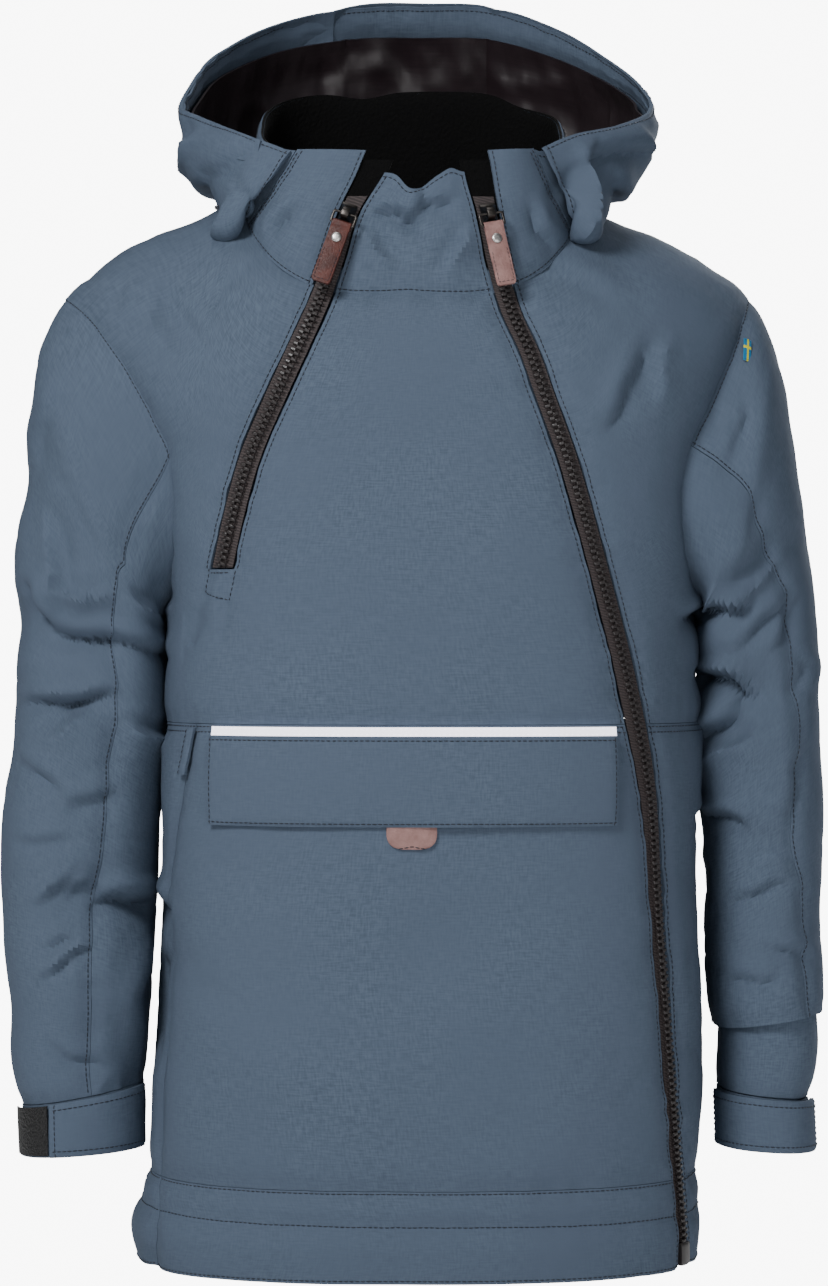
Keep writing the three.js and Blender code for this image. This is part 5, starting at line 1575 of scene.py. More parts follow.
def make_collar(scene):
    """The stand-up collar's four pieces, its fleece and the guards behind the zips."""
    settings = numbers(scene)
    cell = settings.cell * 0.85
    gap = 0.004
    left_seam = lambda share: read(COLLAR_SEAMS, 1, share) * DEGREE
    right_seam = lambda share: read(COLLAR_SEAMS, 2, share) * DEGREE
    short, long = (lambda k: zip_line(SHORT_ZIP, k)), (lambda k: zip_line(LONG_ZIP, k))
    full = lambda s: np.ones_like(s)
    dip = lambda s: (
        0.84 - 0.13 * np.exp(-(((s - 0.42) / 0.2) ** 2)) + 0.03 * np.exp(-(((s - 0.84) / 0.1) ** 2))
    )
    rows = round(60 / cell)

    def back_top(s):
        sag = 0.035 * np.exp(-(((s - 0.56) / 0.035) ** 2)) + 0.07 / (1 + np.exp((s - 0.36) * 90))
        return 1.0 - sag * np.sin(np.pi * np.clip(s, 0, 1)) ** 0.3

    around = (lambda k: right_seam(k) + gap, lambda k: left_seam(k) + 2 * math.pi - gap)
    cuts = (
        ("collar_left", lambda k: left_seam(k) + gap, collar_line(short(-1), -gap), full, 60),
        ("collar_right", collar_line(long(1), gap), lambda k: right_seam(k) - gap, full, 60),
        ("collar_centre", collar_line(short(1), gap), collar_line(long(-1), -gap), dip, 90),
        ("collar_back", *around, lambda s: back_top(s) - 0.012, 420),
    )
    pieces = [
        Piece(name, collar, collar_grid(left, right, top, COLLAR_TUCK, round(wide / cell), rows), "lrb")
        for name, left, right, top, wide in cuts
    ]
    seams = seams_of(pieces)
    KEPT["collar_seams"] = seams
    for piece in pieces:
        height = relief(piece.plain, seams, settings, False, COLLAR_CREASES, 0.7)
        rolled = np.linalg.norm(piece.plain - piece.plain[-1:], axis=-1)
        height = height - 1.1 * np.exp(-rolled / 2.0)
        piece.raise_by(height, COLLAR_CLOTH)
        place_cloth(piece, "shell")
        KEPT[piece.name] = piece
    lining = Piece("collar_fleece", collar, collar_grid(
        *around, back_top, 0.1, round(420 / cell), rows,
    ))
    height = relief(lining.plain, seams, settings, False, None, 0.7)
    below_top = np.linalg.norm(lining.plain - lining.plain[-1:], axis=-1)
    height = height + 1.6 * np.exp(-below_top / 2.5)
    lining.raise_by(height, LINING_CLOTH, -COLLAR_CLOTH - OVERLAY_LIFT)
    place_cloth(lining, "fleece")
    for name, line in (("zip_guard_left", short), ("zip_guard_right", long)):
        guard = Piece(name, collar, collar_grid(
            collar_line(line(-1.25), 0), collar_line(line(1.25), 0),
            lambda s: np.full_like(s, 0.93), 0.5, 12, 14,
        ))
        guard.raise_by(0.3 * noise(guard.plain, 12.0), LINING_CLOTH, -COLLAR_CLOTH - SEAM_GAP)
        place_cloth(guard, "fleece")
    lines = []
    for name, side, distances in (
        ("collar_left", "r", (2.2,)),
        ("collar_left", "l", (2.0, 5.0)),
        ("collar_left", "b", (2.0,)),
        ("collar_right", "l", (2.2,)),
        ("collar_right", "r", (2.0, 5.0)),
        ("collar_right", "b", (2.0,)),
        ("collar_centre", "l", (2.2,)),
        ("collar_centre", "r", (2.2,)),
        ("collar_centre", "b", (2.0,)),
        ("collar_centre", "t", (3.0,)),
        ("collar_back", "b", (2.0,)),
        ("collar_back", "t", (4.0,)),
    ):
        lines += edge_stitch(name, side, *distances)
    sew(lines, "collar_stitches", materials()["thread"])


def make_hood(scene):
    """The folded-back hood: three shell panels, the facing at its rim and its satin lining."""
    settings = numbers(scene)
    cell = settings.cell
    first, second = HOOD_PANEL_SEAMS
    spans = (
        ("hood_side_left", 0, first, 300),
        ("hood_centre", first, second, 100),
        ("hood_side_right", second, 1, 300),
    )
    pieces = [
        Piece(name, hood, box_grid(
            (start, end), (0.0008, 1), round(long / cell), round(150 / cell),
        ), "lrt")
        for name, start, end, long in spans
    ]
    seams = seams_of(pieces)
    for piece in pieces:
        height = relief(piece.plain, seams, settings, False, None)
        forward = piece.plain - (0, 50, 0)
        folds = fold_sum(forward, HOOD_CREASES, True, settings.creases)
        folds = folds + fold_sum(forward, HOOD_FOLDS, False)
        rolled = np.linalg.norm(piece.plain - piece.plain[:1], axis=-1)
        height = height + folds * (1 - np.exp(-rolled / 14.0)) - 1.6 * np.exp(-rolled / 2.5)
        if piece.name == "hood_centre":
            height = height + 0.8
        piece.raise_by(height, HOOD_CLOTH)
        place_cloth(piece, "shell")
        KEPT[piece.name] = piece
    inside = -HOOD_CLOTH - OVERLAY_LIFT
    band = Piece("hood_rim_band", hood, box_grid(
        (0.035 + 0.004, 0.96375 - 0.004), (0.004, RIM_BAND_SHARE), round(640 / cell), 14,
    ))
    band_seams = seams_of([band])
    height = relief(band.plain, band_seams, settings, False, None, 0.8)
    # The facing is eased on to a shorter rim, so it puckers across its width
    distance, beside = band_seams.near(band.plain)
    height = height + 0.9 * noise(beside * np.array([1, 1, 0.6]), 9.0) * np.exp(-distance / 12)
    band.raise_by(-height, LINING_CLOTH, inside)
    place_cloth(band, "shell")
    KEPT["hood_rim_band"] = band
    lining = Piece("hood_lining", hood, box_grid(
        (0.05, 0.95), (RIM_BAND_SHARE - 0.02, 0.84), round(560 / cell), round(110 / cell),
    ))
    # Satin eased into the facing: folds that start there and run on down, uneven
    upright = lining.plain * np.array([1.0, 1.0, 0.35])
    crinkled = 3.4 * noise(upright, 19.0) + 2.2 * noise(upright @ CREASE_TURN + 40, 11.0)
    pulled = noise(lining.plain @ CREASE_TURN + 80, 34.0)
    crinkled = crinkled + 3.0 * np.exp(-np.abs(pulled) / 0.12) - 1.5
    sewn = np.minimum(np.linspace(0, 1, len(lining.plain)) * 9, 1)[:, None]
    panel = sum(
        np.exp(-(((lining.plain[..., 0] - seam) / 2.2) ** 2)) for seam in (-47.0, 50.0)
    )
    pushed = fold_sum(lining.plain - (0, 50, 0), HOOD_CREASES, True, settings.creases)
    depth = 2.8 + np.maximum(0, -pushed) + crinkled * sewn - 1.8 * panel * (lining.plain[..., 1] > 0)
    lining.raise_by(-depth, LINING_CLOTH, inside)
    place_cloth(lining, "satin")
    lines = []
    for name, side, distances in (
        ("hood_side_left", "r", (2.0,)),
        ("hood_side_right", "l", (2.0,)),
        ("hood_centre", "l", (2.0,)),
        ("hood_centre", "r", (2.0,)),
        ("hood_side_left", "l", (2.0,)),
        ("hood_side_right", "r", (2.0,)),
        ("hood_side_left", "b", (2.5,)),
        ("hood_centre", "b", (2.5,)),
        ("hood_side_right", "b", (2.5,)),
        ("hood_side_left", "t", (2.5,)),
        ("hood_side_right", "t", (2.5,)),
        ("hood_centre", "t", (2.5,)),
    ):
        lines += edge_stitch(name, side, *distances)
    sew(lines, "hood_stitches", materials()["thread"])
    inner = [(line, -way) for line, way in (band_line(band, "t", 2.0), band_line(band, "b", 2.5))]
    sew(inner, "rim_stitches", materials()["thread"])


def band_line(piece, side, distance):
    """A line on a piece's inner face, at a distance in from an edge."""
    return Piece(piece.name, as_given, (piece.inner, piece.ways)).inset(side, distance)


def sleeve_seam(rows, at_body):
    seams = np.concatenate([[at_body], rows[:, 6]])

    def line(place):
        return np.interp(place, np.arange(len(seams)), seams) * DEGREE

    return line


def make_sleeves(scene):
    """Both sleeves, each cut in an outer and an under piece, and the right one's lower piece."""
    settings = numbers(scene)
    cell = settings.cell
    gap = 0.0028
    stitched = []
    for side, rows, back, at_body in (
        ("left", SLEEVE_LEFT, 108, 94), ("right", SLEEVE_RIGHT, 104, 90),
    ):
        cloth = sleeve(side, rows, True)
        front = sleeve_seam(rows, at_body)
        back_angle = back * DEGREE
        down = round(42 * len(rows) / cell)
        pieces = []
        for part, start, end, wide in (
            ("outer", lambda k: gap - front(k), lambda k: np.full_like(k, back_angle - gap), 190),
            (
                "under", lambda k: np.full_like(k, back_angle + gap),
                lambda k: 2 * math.pi - front(k) - gap, 150,
            ),
        ):
            t, s = shares(down, round(wide / cell))
            place = 0.016 + (len(rows) - 0.016) * t
            grid = start(place) + (end(place) - start(place)) * s, place
            pieces.append(Piece(f"sleeve_{side}_{part}", cloth, grid))
        seams = seams_of(pieces)
        KEPT[f"sleeve_{side}_seams"] = seams
        for piece in pieces:
            piece.raise_by(relief(piece.plain, seams, settings), PADDED)
            place_cloth(piece, "shell")
            KEPT[piece.name] = piece
        stitched += edge_stitch(f"sleeve_{side}_outer", "b", 2.0)
        stitched += edge_stitch(f"sleeve_{side}_outer", "l", 2.0)
        stitched += edge_stitch(f"sleeve_{side}_outer", "r", 2.0)
    lower = Piece("sleeve_right_lower", sleeve("right", SLEEVE_RIGHT_LOWER, False), box_grid(
        (0, 2 * math.pi), (0, 2), round(220 / cell), round(58 / cell),
    ), "bt", closed=True)
    seams = seams_of([lower])
    lower.raise_by(relief(lower.plain, seams, settings, False, None), PADDED)
    place_cloth(lower, "shell")
    sew(stitched, "sleeve_stitches", materials()["thread"])


def make_cuffs(scene):
    """The cuffs with their straps, and the hook patch that the left strap closes on."""
    settings = numbers(scene)
    cell = settings.cell
    lines = []
    for side, rows, (start, end) in (
        ("left", CUFF_LEFT, (-165, -66)),
        ("right", CUFF_RIGHT, (-170, -12)),
    ):
        cloth = sleeve(side, rows, False)
        cuff = Piece(f"cuff_{side}", cloth, box_grid(
            (0, 2 * math.pi), (0, 1), round(210 / cell), round(34 / cell),
        ), "b", closed=True)
        seams = seams_of([cuff])
        cuff.raise_by(relief(cuff.plain, seams, settings, False, None, 0.8), PADDED)
        place_cloth(cuff, "shell")
        strap = Piece(f"cuff_strap_{side}", cloth, box_grid(
            (start * DEGREE, end * DEGREE), (0.03, 1), round(90 / cell), round(30 / cell),
        ))
        edges = seams_of([strap])
        distance, _ = edges.near(strap.plain)
        height = relief(strap.plain, None, settings, False, None, 0.7)
        height = height - 1.2 * np.exp(-distance / 1.2) - 0.5 * np.exp(-((distance - 4) ** 2) / 2)
        strap.raise_by(height, 2.4, OVERLAY_LIFT + 2.4)
        place_cloth(strap, "shell")
        lines += [strap.inset(edge, 4.0) for edge in "lrbt"]
        if side == "left":
            patch_piece = Piece("cuff_hook_patch", cloth, box_grid(
                (-64 * DEGREE, -14 * DEGREE), (0.06, 0.94), 24, 20,
            ))
            height = relief(patch_piece.plain, None, settings, False, None, 0.5)
            patch_piece.raise_by(height, 1.0, OVERLAY_LIFT + 1.0)
            place_cloth(patch_piece, "hook")
    sew(lines, "cuff_stitches", materials()["thread"])


# --- Zips, pulls and small trim ------------------------------------------------------------------


def zip_strip(name, rows, low, high, left, right, columns, step=3.0):
    """A strip up a zip, over the body and then the collar, between cross shares of its tape."""
    neck = float(neck_z(float(collar_angle(zip_line(rows, 0), np.array(0.0)))))
    below = np.arange(low, neck - 0.5, step)
    below = np.append(below, neck - 0.5)
    crossings = np.linspace(left, right, columns + 1)
    z = np.repeat(below[:, None], columns + 1, axis=1)
    x = read(rows, 1, z) + crossings * read(rows, 2, z)
    on_body = body(*body_place(-1, x, z))
    parts = [on_body]
    if high > neck + 1:
        above = np.linspace(neck + 0.9, high, max(2, round((high - neck) / step)))
        columns_up = []
        for share in crossings:
            line = zip_line(rows, share)
            height = collar_share(line, above)
            columns_up.append(collar(collar_angle(line, height), height))
        parts.append(tuple(np.stack([column[k] for column in columns_up], 1) for k in (0, 1)))
    return Piece(name, as_given, (np.concatenate([part[k] for part in parts]) for k in (0, 1)))


def zip_relief(points, settings):
    height = fold_sum(points, FOLDS, False) - 0.45 * settings.seam_depth
    on_body = np.clip(-points[..., 2] / 20, 0, 1)
    return height * on_body + 0.35 * noise(points, 40.0) - 0.25 * settings.seam_depth * (1 - on_body)


TOOTH = np.array(
    [
        (-2.5, -0.95, -0.9), (1.0, -1.25, -0.9), (1.0, 1.25, -0.9), (-2.5, 0.95, -0.9),
        (-2.6, -0.95, 0.55), (1.0, -1.3, 0.75), (1.0, 1.3, 0.75), (-2.6, 0.95, 0.55),
        (-2.1, -0.55, 1.25), (0.65, -0.85, 1.5), (0.65, 0.85, 1.5), (-2.1, 0.55, 1.25),
    ]
)
TOOTH_FACES = (
    (0, 1, 5, 4), (1, 2, 6, 5), (2, 3, 7, 6), (3, 0, 4, 7), (4, 5, 9, 8), (5, 6, 10, 9),
    (6, 7, 11, 10), (7, 4, 8, 11), (8, 9, 10, 11), (3, 2, 1, 0),
)


def teeth(name, line, ways, pitch, top):
    """Two rows of moulded teeth that mesh along a line, as one mesh."""
    length = lengths_along(line)
    points, faces = [], []
    for side in (-1, 1):
        at = np.arange(1.2 + (pitch / 2 if side > 0 else 0), length[-1] - 0.8, pitch)
        spot = read_along(line, length, at)
        ahead = read_along(line, length, at + 1)
        behind = read_along(line, length, at - 1)
        out = unit(read_along(ways, length, at))
        along = unit(ahead - behind)
        across = unit(np.cross(along, out))
        # The head of a tooth reaches over the middle, between two of the other row
        x = TOOTH[:, 0] - 0.75
        moved = (
            spot[:, None]
            + across[:, None] * (side * -x)[None, :, None]
            + along[:, None] * TOOTH[None, :, 1:2]
            + out[:, None] * (TOOTH[None, :, 2:3] + top)
        )
        base = sum(len(block) for block in points)
        points.append(moved.reshape(-1, 3))
        for k in range(len(at)):
            for face in TOOTH_FACES:
                order = face if side < 0 else face[::-1]
                faces.append([base + 12 * k + corner for corner in order])
    made = mesh_object(name, np.concatenate(points), faces, sharp=30)
    bevel = made.modifiers.new("Rounding", "BEVEL")
    bevel.width = 0.0002
    bevel.segments = 1
    return apply_modifiers(made)


def apply_modifiers(made):
    graph = bpy.context.evaluated_depsgraph_get()
    mesh = bpy.data.meshes.new_from_object(made.evaluated_get(graph))
    made.modifiers.clear()
    made.data = mesh
    return made


def make_zips(scene):
    """The two zips: woven tapes, their cords and moulded teeth, and the long zip's box."""
    settings = numbers(scene)
    for name, rows, low in (
        ("short_zip", SHORT_ZIP, SHORT_ZIP_END_Z + 1),
        ("long_zip", LONG_ZIP, HEM_BOTTOM_Z + 2),
    ):
        tape = zip_strip(f"{name}_tape", rows, low, 20, -0.84, 0.84, 10)
        tape.raise_by(zip_relief(tape.plain, settings), TAPE_THICK, -TAPE_TOP)
        place_cloth(tape, "tape")
        start = ZIP_BOX_TOP + 1 if name == "long_zip" else low
        chain = zip_strip(f"{name}_chain", rows, start, ZIP_TOP_Z - 8, -0.3, 0.3, 2)
        height = zip_relief(chain.plain, settings)
        chain.raise_by(height, 1.2, -TAPE_TOP + 1.2)
        cord = wall_mesh(chain, f"{name}_cord")
        cord.data.materials.append(materials()["tape"])
        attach(cord, "garment")
        line = chain.outer[:, 1]
        row = teeth(f"{name}_teeth", line, chain.ways[:, 1], settings.tooth_pitch, 0.9)
        row.data.materials.append(materials()["teeth"])
        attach(row, "garment")
        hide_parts(f"{name}_chain")
        if name == "long_zip":
            box = zip_strip("long_zip_box", rows, ZIP_BOX_BOTTOM, ZIP_BOX_TOP, -0.8, 0.8, 6, 1.2)
            box.plain, box.ways = box.plain[:13], box.ways[:13]
            rounded = np.minimum(
                np.linspace(0, 1, 13)[:, None] * np.ones(7), np.linspace(1, 0, 13)[:, None] * np.ones(7)
            )
            side = np.minimum(np.linspace(0, 1, 7), np.linspace(1, 0, 7))
            height = zip_relief(box.plain, settings) - 0.9 * np.exp(-rounded * 14 / 0.9)
            height = height - 0.9 * np.exp(-side * 5.4 / 0.9)
            box.raise_by(height, 3.4, 2.4)
            made = wall_mesh(box, "long_zip_box_moulded")
            made.data.materials.append(materials()["teeth"])
            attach(made, "garment")
            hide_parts("long_zip_box")


def zip_axes(rows):
    """The middle of a slider, and the ways across, out and down its zip."""

    def spot(z):
        line = zip_line(rows, 0)
        share = collar_share(line, np.array(z))
        return collar(collar_angle(line, share), share)

    middle, outward = spot(ZIP_TOP_Z)
    down = unit(spot(ZIP_TOP_Z - 12)[0] - middle)
    across = unit(np.cross(down, outward))
    return middle, across, unit(np.cross(across, down)), down


def profile_solid(name, outline, holes, half, rounding):
    """A profile with holes, thickened to both sides, its edges rounded."""
    curve = bpy.data.curves.new(name, "CURVE")
    curve.dimensions = "2D"
    curve.fill_mode = "BOTH"
    curve.extrude = half - rounding
    curve.bevel_depth = rounding
    curve.bevel_resolution = 2
    curve.offset = -rounding
    for ring in (outline, *holes):
        spline = curve.splines.new("POLY")
        spline.points.add(len(ring) - 1)
        for point, (x, y) in zip(spline.points, ring):
            point.co = (x, y, 0, 1)
        spline.use_cyclic_u = True
    drawn = bpy.data.objects.new(name, curve)
    bpy.context.scene.collection.objects.link(drawn)
    graph = bpy.context.evaluated_depsgraph_get()
    graph.update()
    mesh = bpy.data.meshes.new_from_object(drawn.evaluated_get(graph))
    bpy.data.objects.remove(drawn)
    bpy.data.curves.remove(curve)
    points = np.array([vertex.co for vertex in mesh.vertices])
    faces = [list(face.vertices) for face in mesh.polygons]
    bpy.data.meshes.remove(mesh)
    return points, faces


def arc(x, y, radius, start, end, count):
    return [
        (x + radius * math.cos(turn), y + radius * math.sin(turn))
        for turn in np.linspace(start, end, count)
    ]


def weld(made):
    shape = bmesh.new()
    shape.from_mesh(made.data)
    bmesh.ops.remove_doubles(shape, verts=shape.verts, dist=2e-6)
    bmesh.ops.recalc_face_normals(shape, faces=shape.faces)
    shape.to_mesh(made.data)
    shape.free()
    made.data.shade_smooth()
    made.data.set_sharp_from_angle(angle=35 * DEGREE)
    return made


def lathe(profile, sides=40):
    """Points and faces of a profile of radius and height turned round the second axis."""
    turns = np.linspace(0, 2 * math.pi, sides, endpoint=False)
    points = [(r * math.cos(turn), h, r * math.sin(turn)) for r, h in profile for turn in turns]
    faces = []
    for ring, k in product(range(len(profile) - 1), range(sides)):
        a, b = ring * sides + k, ring * sides + (k + 1) % sides
        faces.append([a, b, b + sides, a + sides])
    faces.append(list(range(sides)))
    faces.append([(len(profile) - 1) * sides + k for k in range(sides)][::-1])
    return np.array(points), faces


def make_pulls(scene):
    """Each zip's slider, wire link, leather tab and rivet."""
    for name, rows, finish in (
        ("short_zip", SHORT_ZIP, "leather_dark"),
        ("long_zip", LONG_ZIP, "leather_pale"),
    ):
        middle, across, out, down = zip_axes(rows)
        eye = middle + out * SLIDER["rise"]
        pull = f"{name.split('_')[0]}_pull"

        def placed(piece, points, faces, lean, look, body_name, node):
            turn = lean * DEGREE
            x = down * math.cos(turn) + out * math.sin(turn)
            y = out * math.cos(turn) - down * math.sin(turn)
            moved = eye + points[:, :1] * x + points[:, 1:2] * y + points[:, 2:3] * across
            made = weld(mesh_object(piece, moved, faces))
            made.data.materials.append(materials()[look])
            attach(made, body_name)
            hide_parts(node)
            return made

        low = -SLIDER["rise"] + SLIDER["lift"]
        top = low + SLIDER["plate"]
        half = SLIDER["length"] / 2
        outline = [
            (half, low), (half, top - 0.8), (4.6, top), (3.4, 0.2), (2.8, 1.6), (1.4, 2.9),
            (-1.4, 2.9), (-3.4, 1.6), (-4.4, 0), (-5.6, top), (-half, top - 0.8), (-half, low),
        ]
        ring = arc(0, 0, SLIDER["eye"], 0, 2 * math.pi * 23 / 24, 24)
        # The plate is as wide as the slider and the bridge over it is narrower
        points, faces = profile_solid("slider", outline, [ring], SLIDER["half"], 0.45)
        narrow = np.clip((points[:, 1] - top) / 1.5, 0, 1)
        points[:, 2] *= 1 - 0.5 * narrow
        taper = np.clip((points[:, 0] - 1) / 6, 0, 1)
        points[:, 2] *= 1 - 0.16 * taper
        placed(f"{name}_slider_cast", points, faces, 0, "dark_metal", "garment", f"{name}_slider")

        wire, wide, long = LINK["wire"], LINK["half"], LINK["length"]
        corners = ((long - 1, wide, 0), (1, wide, 90), (1, -wide, 180), (long - 1, -wide, 270))
        outer = []
        for x, y, start in corners:
            edge = wide - 0.2 if y > 0 else -wide + 0.2
            outer += arc(x, edge, 1.7, start * DEGREE, (start + 90) * DEGREE, 6)
        inner = []
        for x, y, start in corners:
            edge = wide - 0.6 if y > 0 else -wide + 0.6
            centre_x = x + (-0.2 if x > 2 else 0.2)
            inner += arc(centre_x, edge, 0.5, start * DEGREE, (start + 90) * DEGREE, 6)
        points, faces = profile_solid("link", outer, [inner], wire / 2, 0.6)
        points = points[:, [0, 2, 1]]
        placed(f"{name}_link_wire", points, faces, PULL_LEAN, "dark_metal", pull, f"{name}_link")

        start, thick, length = long, LEATHER["thick"] / 2, LEATHER["length"]
        outline = [(start - 1, -1.9), (start + 1.2, -1.9), (start + 3.4, -thick)]
        outline.append((start + 12, -thick - 0.1))
        outline += [(start + 24, -thick), (start + length, -thick), (start + length, thick)]
        outline += [(start + 24, thick + 0.1), (start + 12, thick), (start + 3.4, thick)]
        outline += [(start + 1.2, 1.9), (start - 1, 1.9), (start - 1.9, 1), (start - 1.9, -1)]
        smooth = resampled(outline, 0.8)
        hole = arc(start, 0, wire * 0.72 + 0.1, 0, 2 * math.pi * 19 / 20, 20)
        points, faces = profile_solid("leather", smooth, [hole], LEATHER["half"], 0.35)
        # The free end is cut with rounded corners
        end = start + length
        reach = np.clip((points[:, 0] - (end - 3.0)) / 3.0, 0, 1)
        points[:, 2] *= 1 - 0.28 * (1 - np.sqrt(1 - reach**2))
        tab = placed(f"{name}_leather_tab", points, faces, PULL_LEAN, finish, pull, f"{name}_leather")

        radius, foot = RIVET["radius"], thick + SEAM_GAP
        dome = [(radius, foot), (radius, foot + 0.35), (radius * 0.88, foot + 0.7)]
        dome += [(radius * 0.6, foot + 0.95), (radius * 0.3, foot + 1.0), (0.25, foot + 1.02)]
        points, faces = lathe(dome)
        points[:, 0] += start + RIVET["down"]
        placed(f"{name}_rivet_cap", points, faces, PULL_LEAN, "metal", pull, f"{name}_rivet")
        sew_leather(name, start, length, thick, eye, across, out, down, pull)


def resampled(outline, step):
    """A closed outline with points at most a step apart."""
    ring = []
    for (x0, y0), (x1, y1) in zip(outline, outline[1:] + outline[:1]):
        count = max(1, math.ceil(math.hypot(x1 - x0, y1 - y0) / step))
        ring += [(x0 + (x1 - x0) * k / count, y0 + (y1 - y0) * k / count) for k in range(count)]
    return ring


def sew_leather(name, start, length, thick, eye, across, out, down, pull):
    """A row of stitches round the face of a leather tab."""
    turn = PULL_LEAN * DEGREE
    x = down * math.cos(turn) + out * math.sin(turn)
    y = out * math.cos(turn) - down * math.sin(turn)
    half = LEATHER["half"] - 1.3
    end = start + length - 2
    path = [(start + 15, -half), (end, -half), (end, half), (start + 15, half)]
    line = np.array([eye + x * px + across * pz + y * (thick + 0.1) for px, pz in path])
    ways = np.repeat(y[None], len(path), axis=0)
    sew([(line, ways)], f"{name}_leather_stitches", materials()["thread"], pull, 2.6, 2.0, 0.18)


def make_small_trim(scene):
    """The hood's two snaps and the flag label on the right sleeve."""
    settings = numbers(scene)
    for name, round_share in (("hood_snap_left", 0.1), ("hood_snap_right", 0.9)):
        carrier = KEPT[name.replace("snap", "side")]
        spot = hood(np.array(round_share), np.array(0.72))[0]
        nearest = np.argmin(np.linalg.norm(carrier.outer - spot, axis=-1))
        spot, way = (grid.reshape(-1, 3)[nearest] for grid in (carrier.outer, carrier.ways))
        up = np.array([0.0, 0.0, 1.0])
        side = unit(np.cross(way, up))
        up = unit(np.cross(side, way))
        r = SNAP["radius"]
        profile = [(r, 0), (r, 0.6), (r * 0.92, 1.1), (r * 0.75, 1.3), (r * 0.6, 1.0), (r * 0.4, 0.9)]
        profile += [(r * 0.3, 1.35), (0.2, 1.5)]
        points, faces = lathe(profile)
        moved = spot + way * 0.2 + points[:, :1] * side + points[:, 1:2] * way + points[:, 2:3] * up
        made = weld(mesh_object(f"{name}_cap", moved, faces))
        made.data.materials.append(materials()["metal"])
        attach(made, "garment")
        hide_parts(name)
    cloth = sleeve("right", SLEEVE_RIGHT, True)
    angle, place = np.array(FLAG["angle"] * DEGREE), np.array(FLAG["place"])
    spot, way = cloth(angle, place)
    spot = spot + way * float(relief(spot[None], KEPT["sleeve_right_seams"], settings)[0])
    turn = FLAG["turn"] * DEGREE
    up = np.array([math.sin(turn), 0.0, math.cos(turn)])
    across = unit(np.cross(way, up))
    up = unit(np.cross(across, way))
    t, s = np.meshgrid(np.linspace(-1, 1, 15), np.linspace(-1, 1, 9), indexing="ij")
    flat = spot + s[..., None] * across * FLAG["width"] / 2 + t[..., None] * up * FLAG["length"] / 2
    piece = Piece("flag_label", as_given, (flat, np.broadcast_to(way, flat.shape)))
    piece.raise_by(0.25 * (1 - s**2) - 0.15 * (t**4), FLAG["thick"], 3.0)
    place_cloth(piece, "flag")
    sew([piece.inset("t", 0.7), piece.inset("b", 0.7)], "flag_stitches", materials()["thread"],
        pitch=1.5, long=1.1, thick=0.12)


# --- The studio ----------------------------------------------------------------------------------


def area_light(name, spot, target, size, power):
    light = bpy.data.lights.new(name, "AREA")
    light.shape = "DISK"
    light.size = size
    light.energy = power
    made = bpy.data.objects.new(name, light)
    made.location = spot
    made.rotation_euler = (Vector(target) - Vector(spot)).to_track_quat("-Z", "Y").to_euler()
    made.visible_camera = False
    bpy.context.scene.collection.objects.link(made)
    return made


def make_stage(scene):
    """A pale floor in a pale room, soft light, and the camera in front of the chest."""
    settings = numbers(scene)
    floor = -settings.floor_drop
    corners = [(x, y, floor) for x, y in ((-12, -12), (12, -12), (12, 12), (-12, 12))]
    paper = mesh_object("floor_paper", np.array(corners) / MM, [[0, 1, 2, 3]])
    paper.data.materials.append(stage_paper(settings.backdrop))
    middle = (0.0, 0.0, -0.22)
    lights = [
        area_light("key", (-1.15, -1.9, 1.35), middle, 0.9, settings.key),
        area_light("fill", (0.5, -2.9, -0.2), middle, 1.6, settings.key * 0.42),
        area_light("top", (-0.3, -0.1, 2.2), middle, 0.9, settings.key * 0.14),
        area_light("back", (1.2, 2.2, 1.1), middle, 1.4, settings.key * 1.2),
    ]
    world = bpy.data.worlds.new("studio")
    world.use_nodes = True
    tree = world.node_tree
    dim = tree.nodes["Background"]
    dim.inputs[0].default_value = (0.93, 0.96, 1.0, 1)
    dim.inputs[1].default_value = 0.12
    pale = add(tree, "ShaderNodeBackground", {0: (0.97, 0.97, 0.97, 1), 1: settings.backdrop})
    tree.links.new(to_the_eye(tree, dim, pale), tree.nodes["World Output"].inputs["Surface"])
    scene.world = world
    lens = bpy.data.cameras.new("front_camera")
    lens.lens = 36.0 * 2.4 / 0.7973
    camera = bpy.data.objects.new("front_camera", lens)
    camera.location = (0.0, -2.4, -0.2468)
    camera.rotation_euler = (math.pi / 2, 0, 0)
    scene.collection.objects.link(camera)
    scene.camera = camera


# --- The add-on ----------------------------------------------------------------------------------


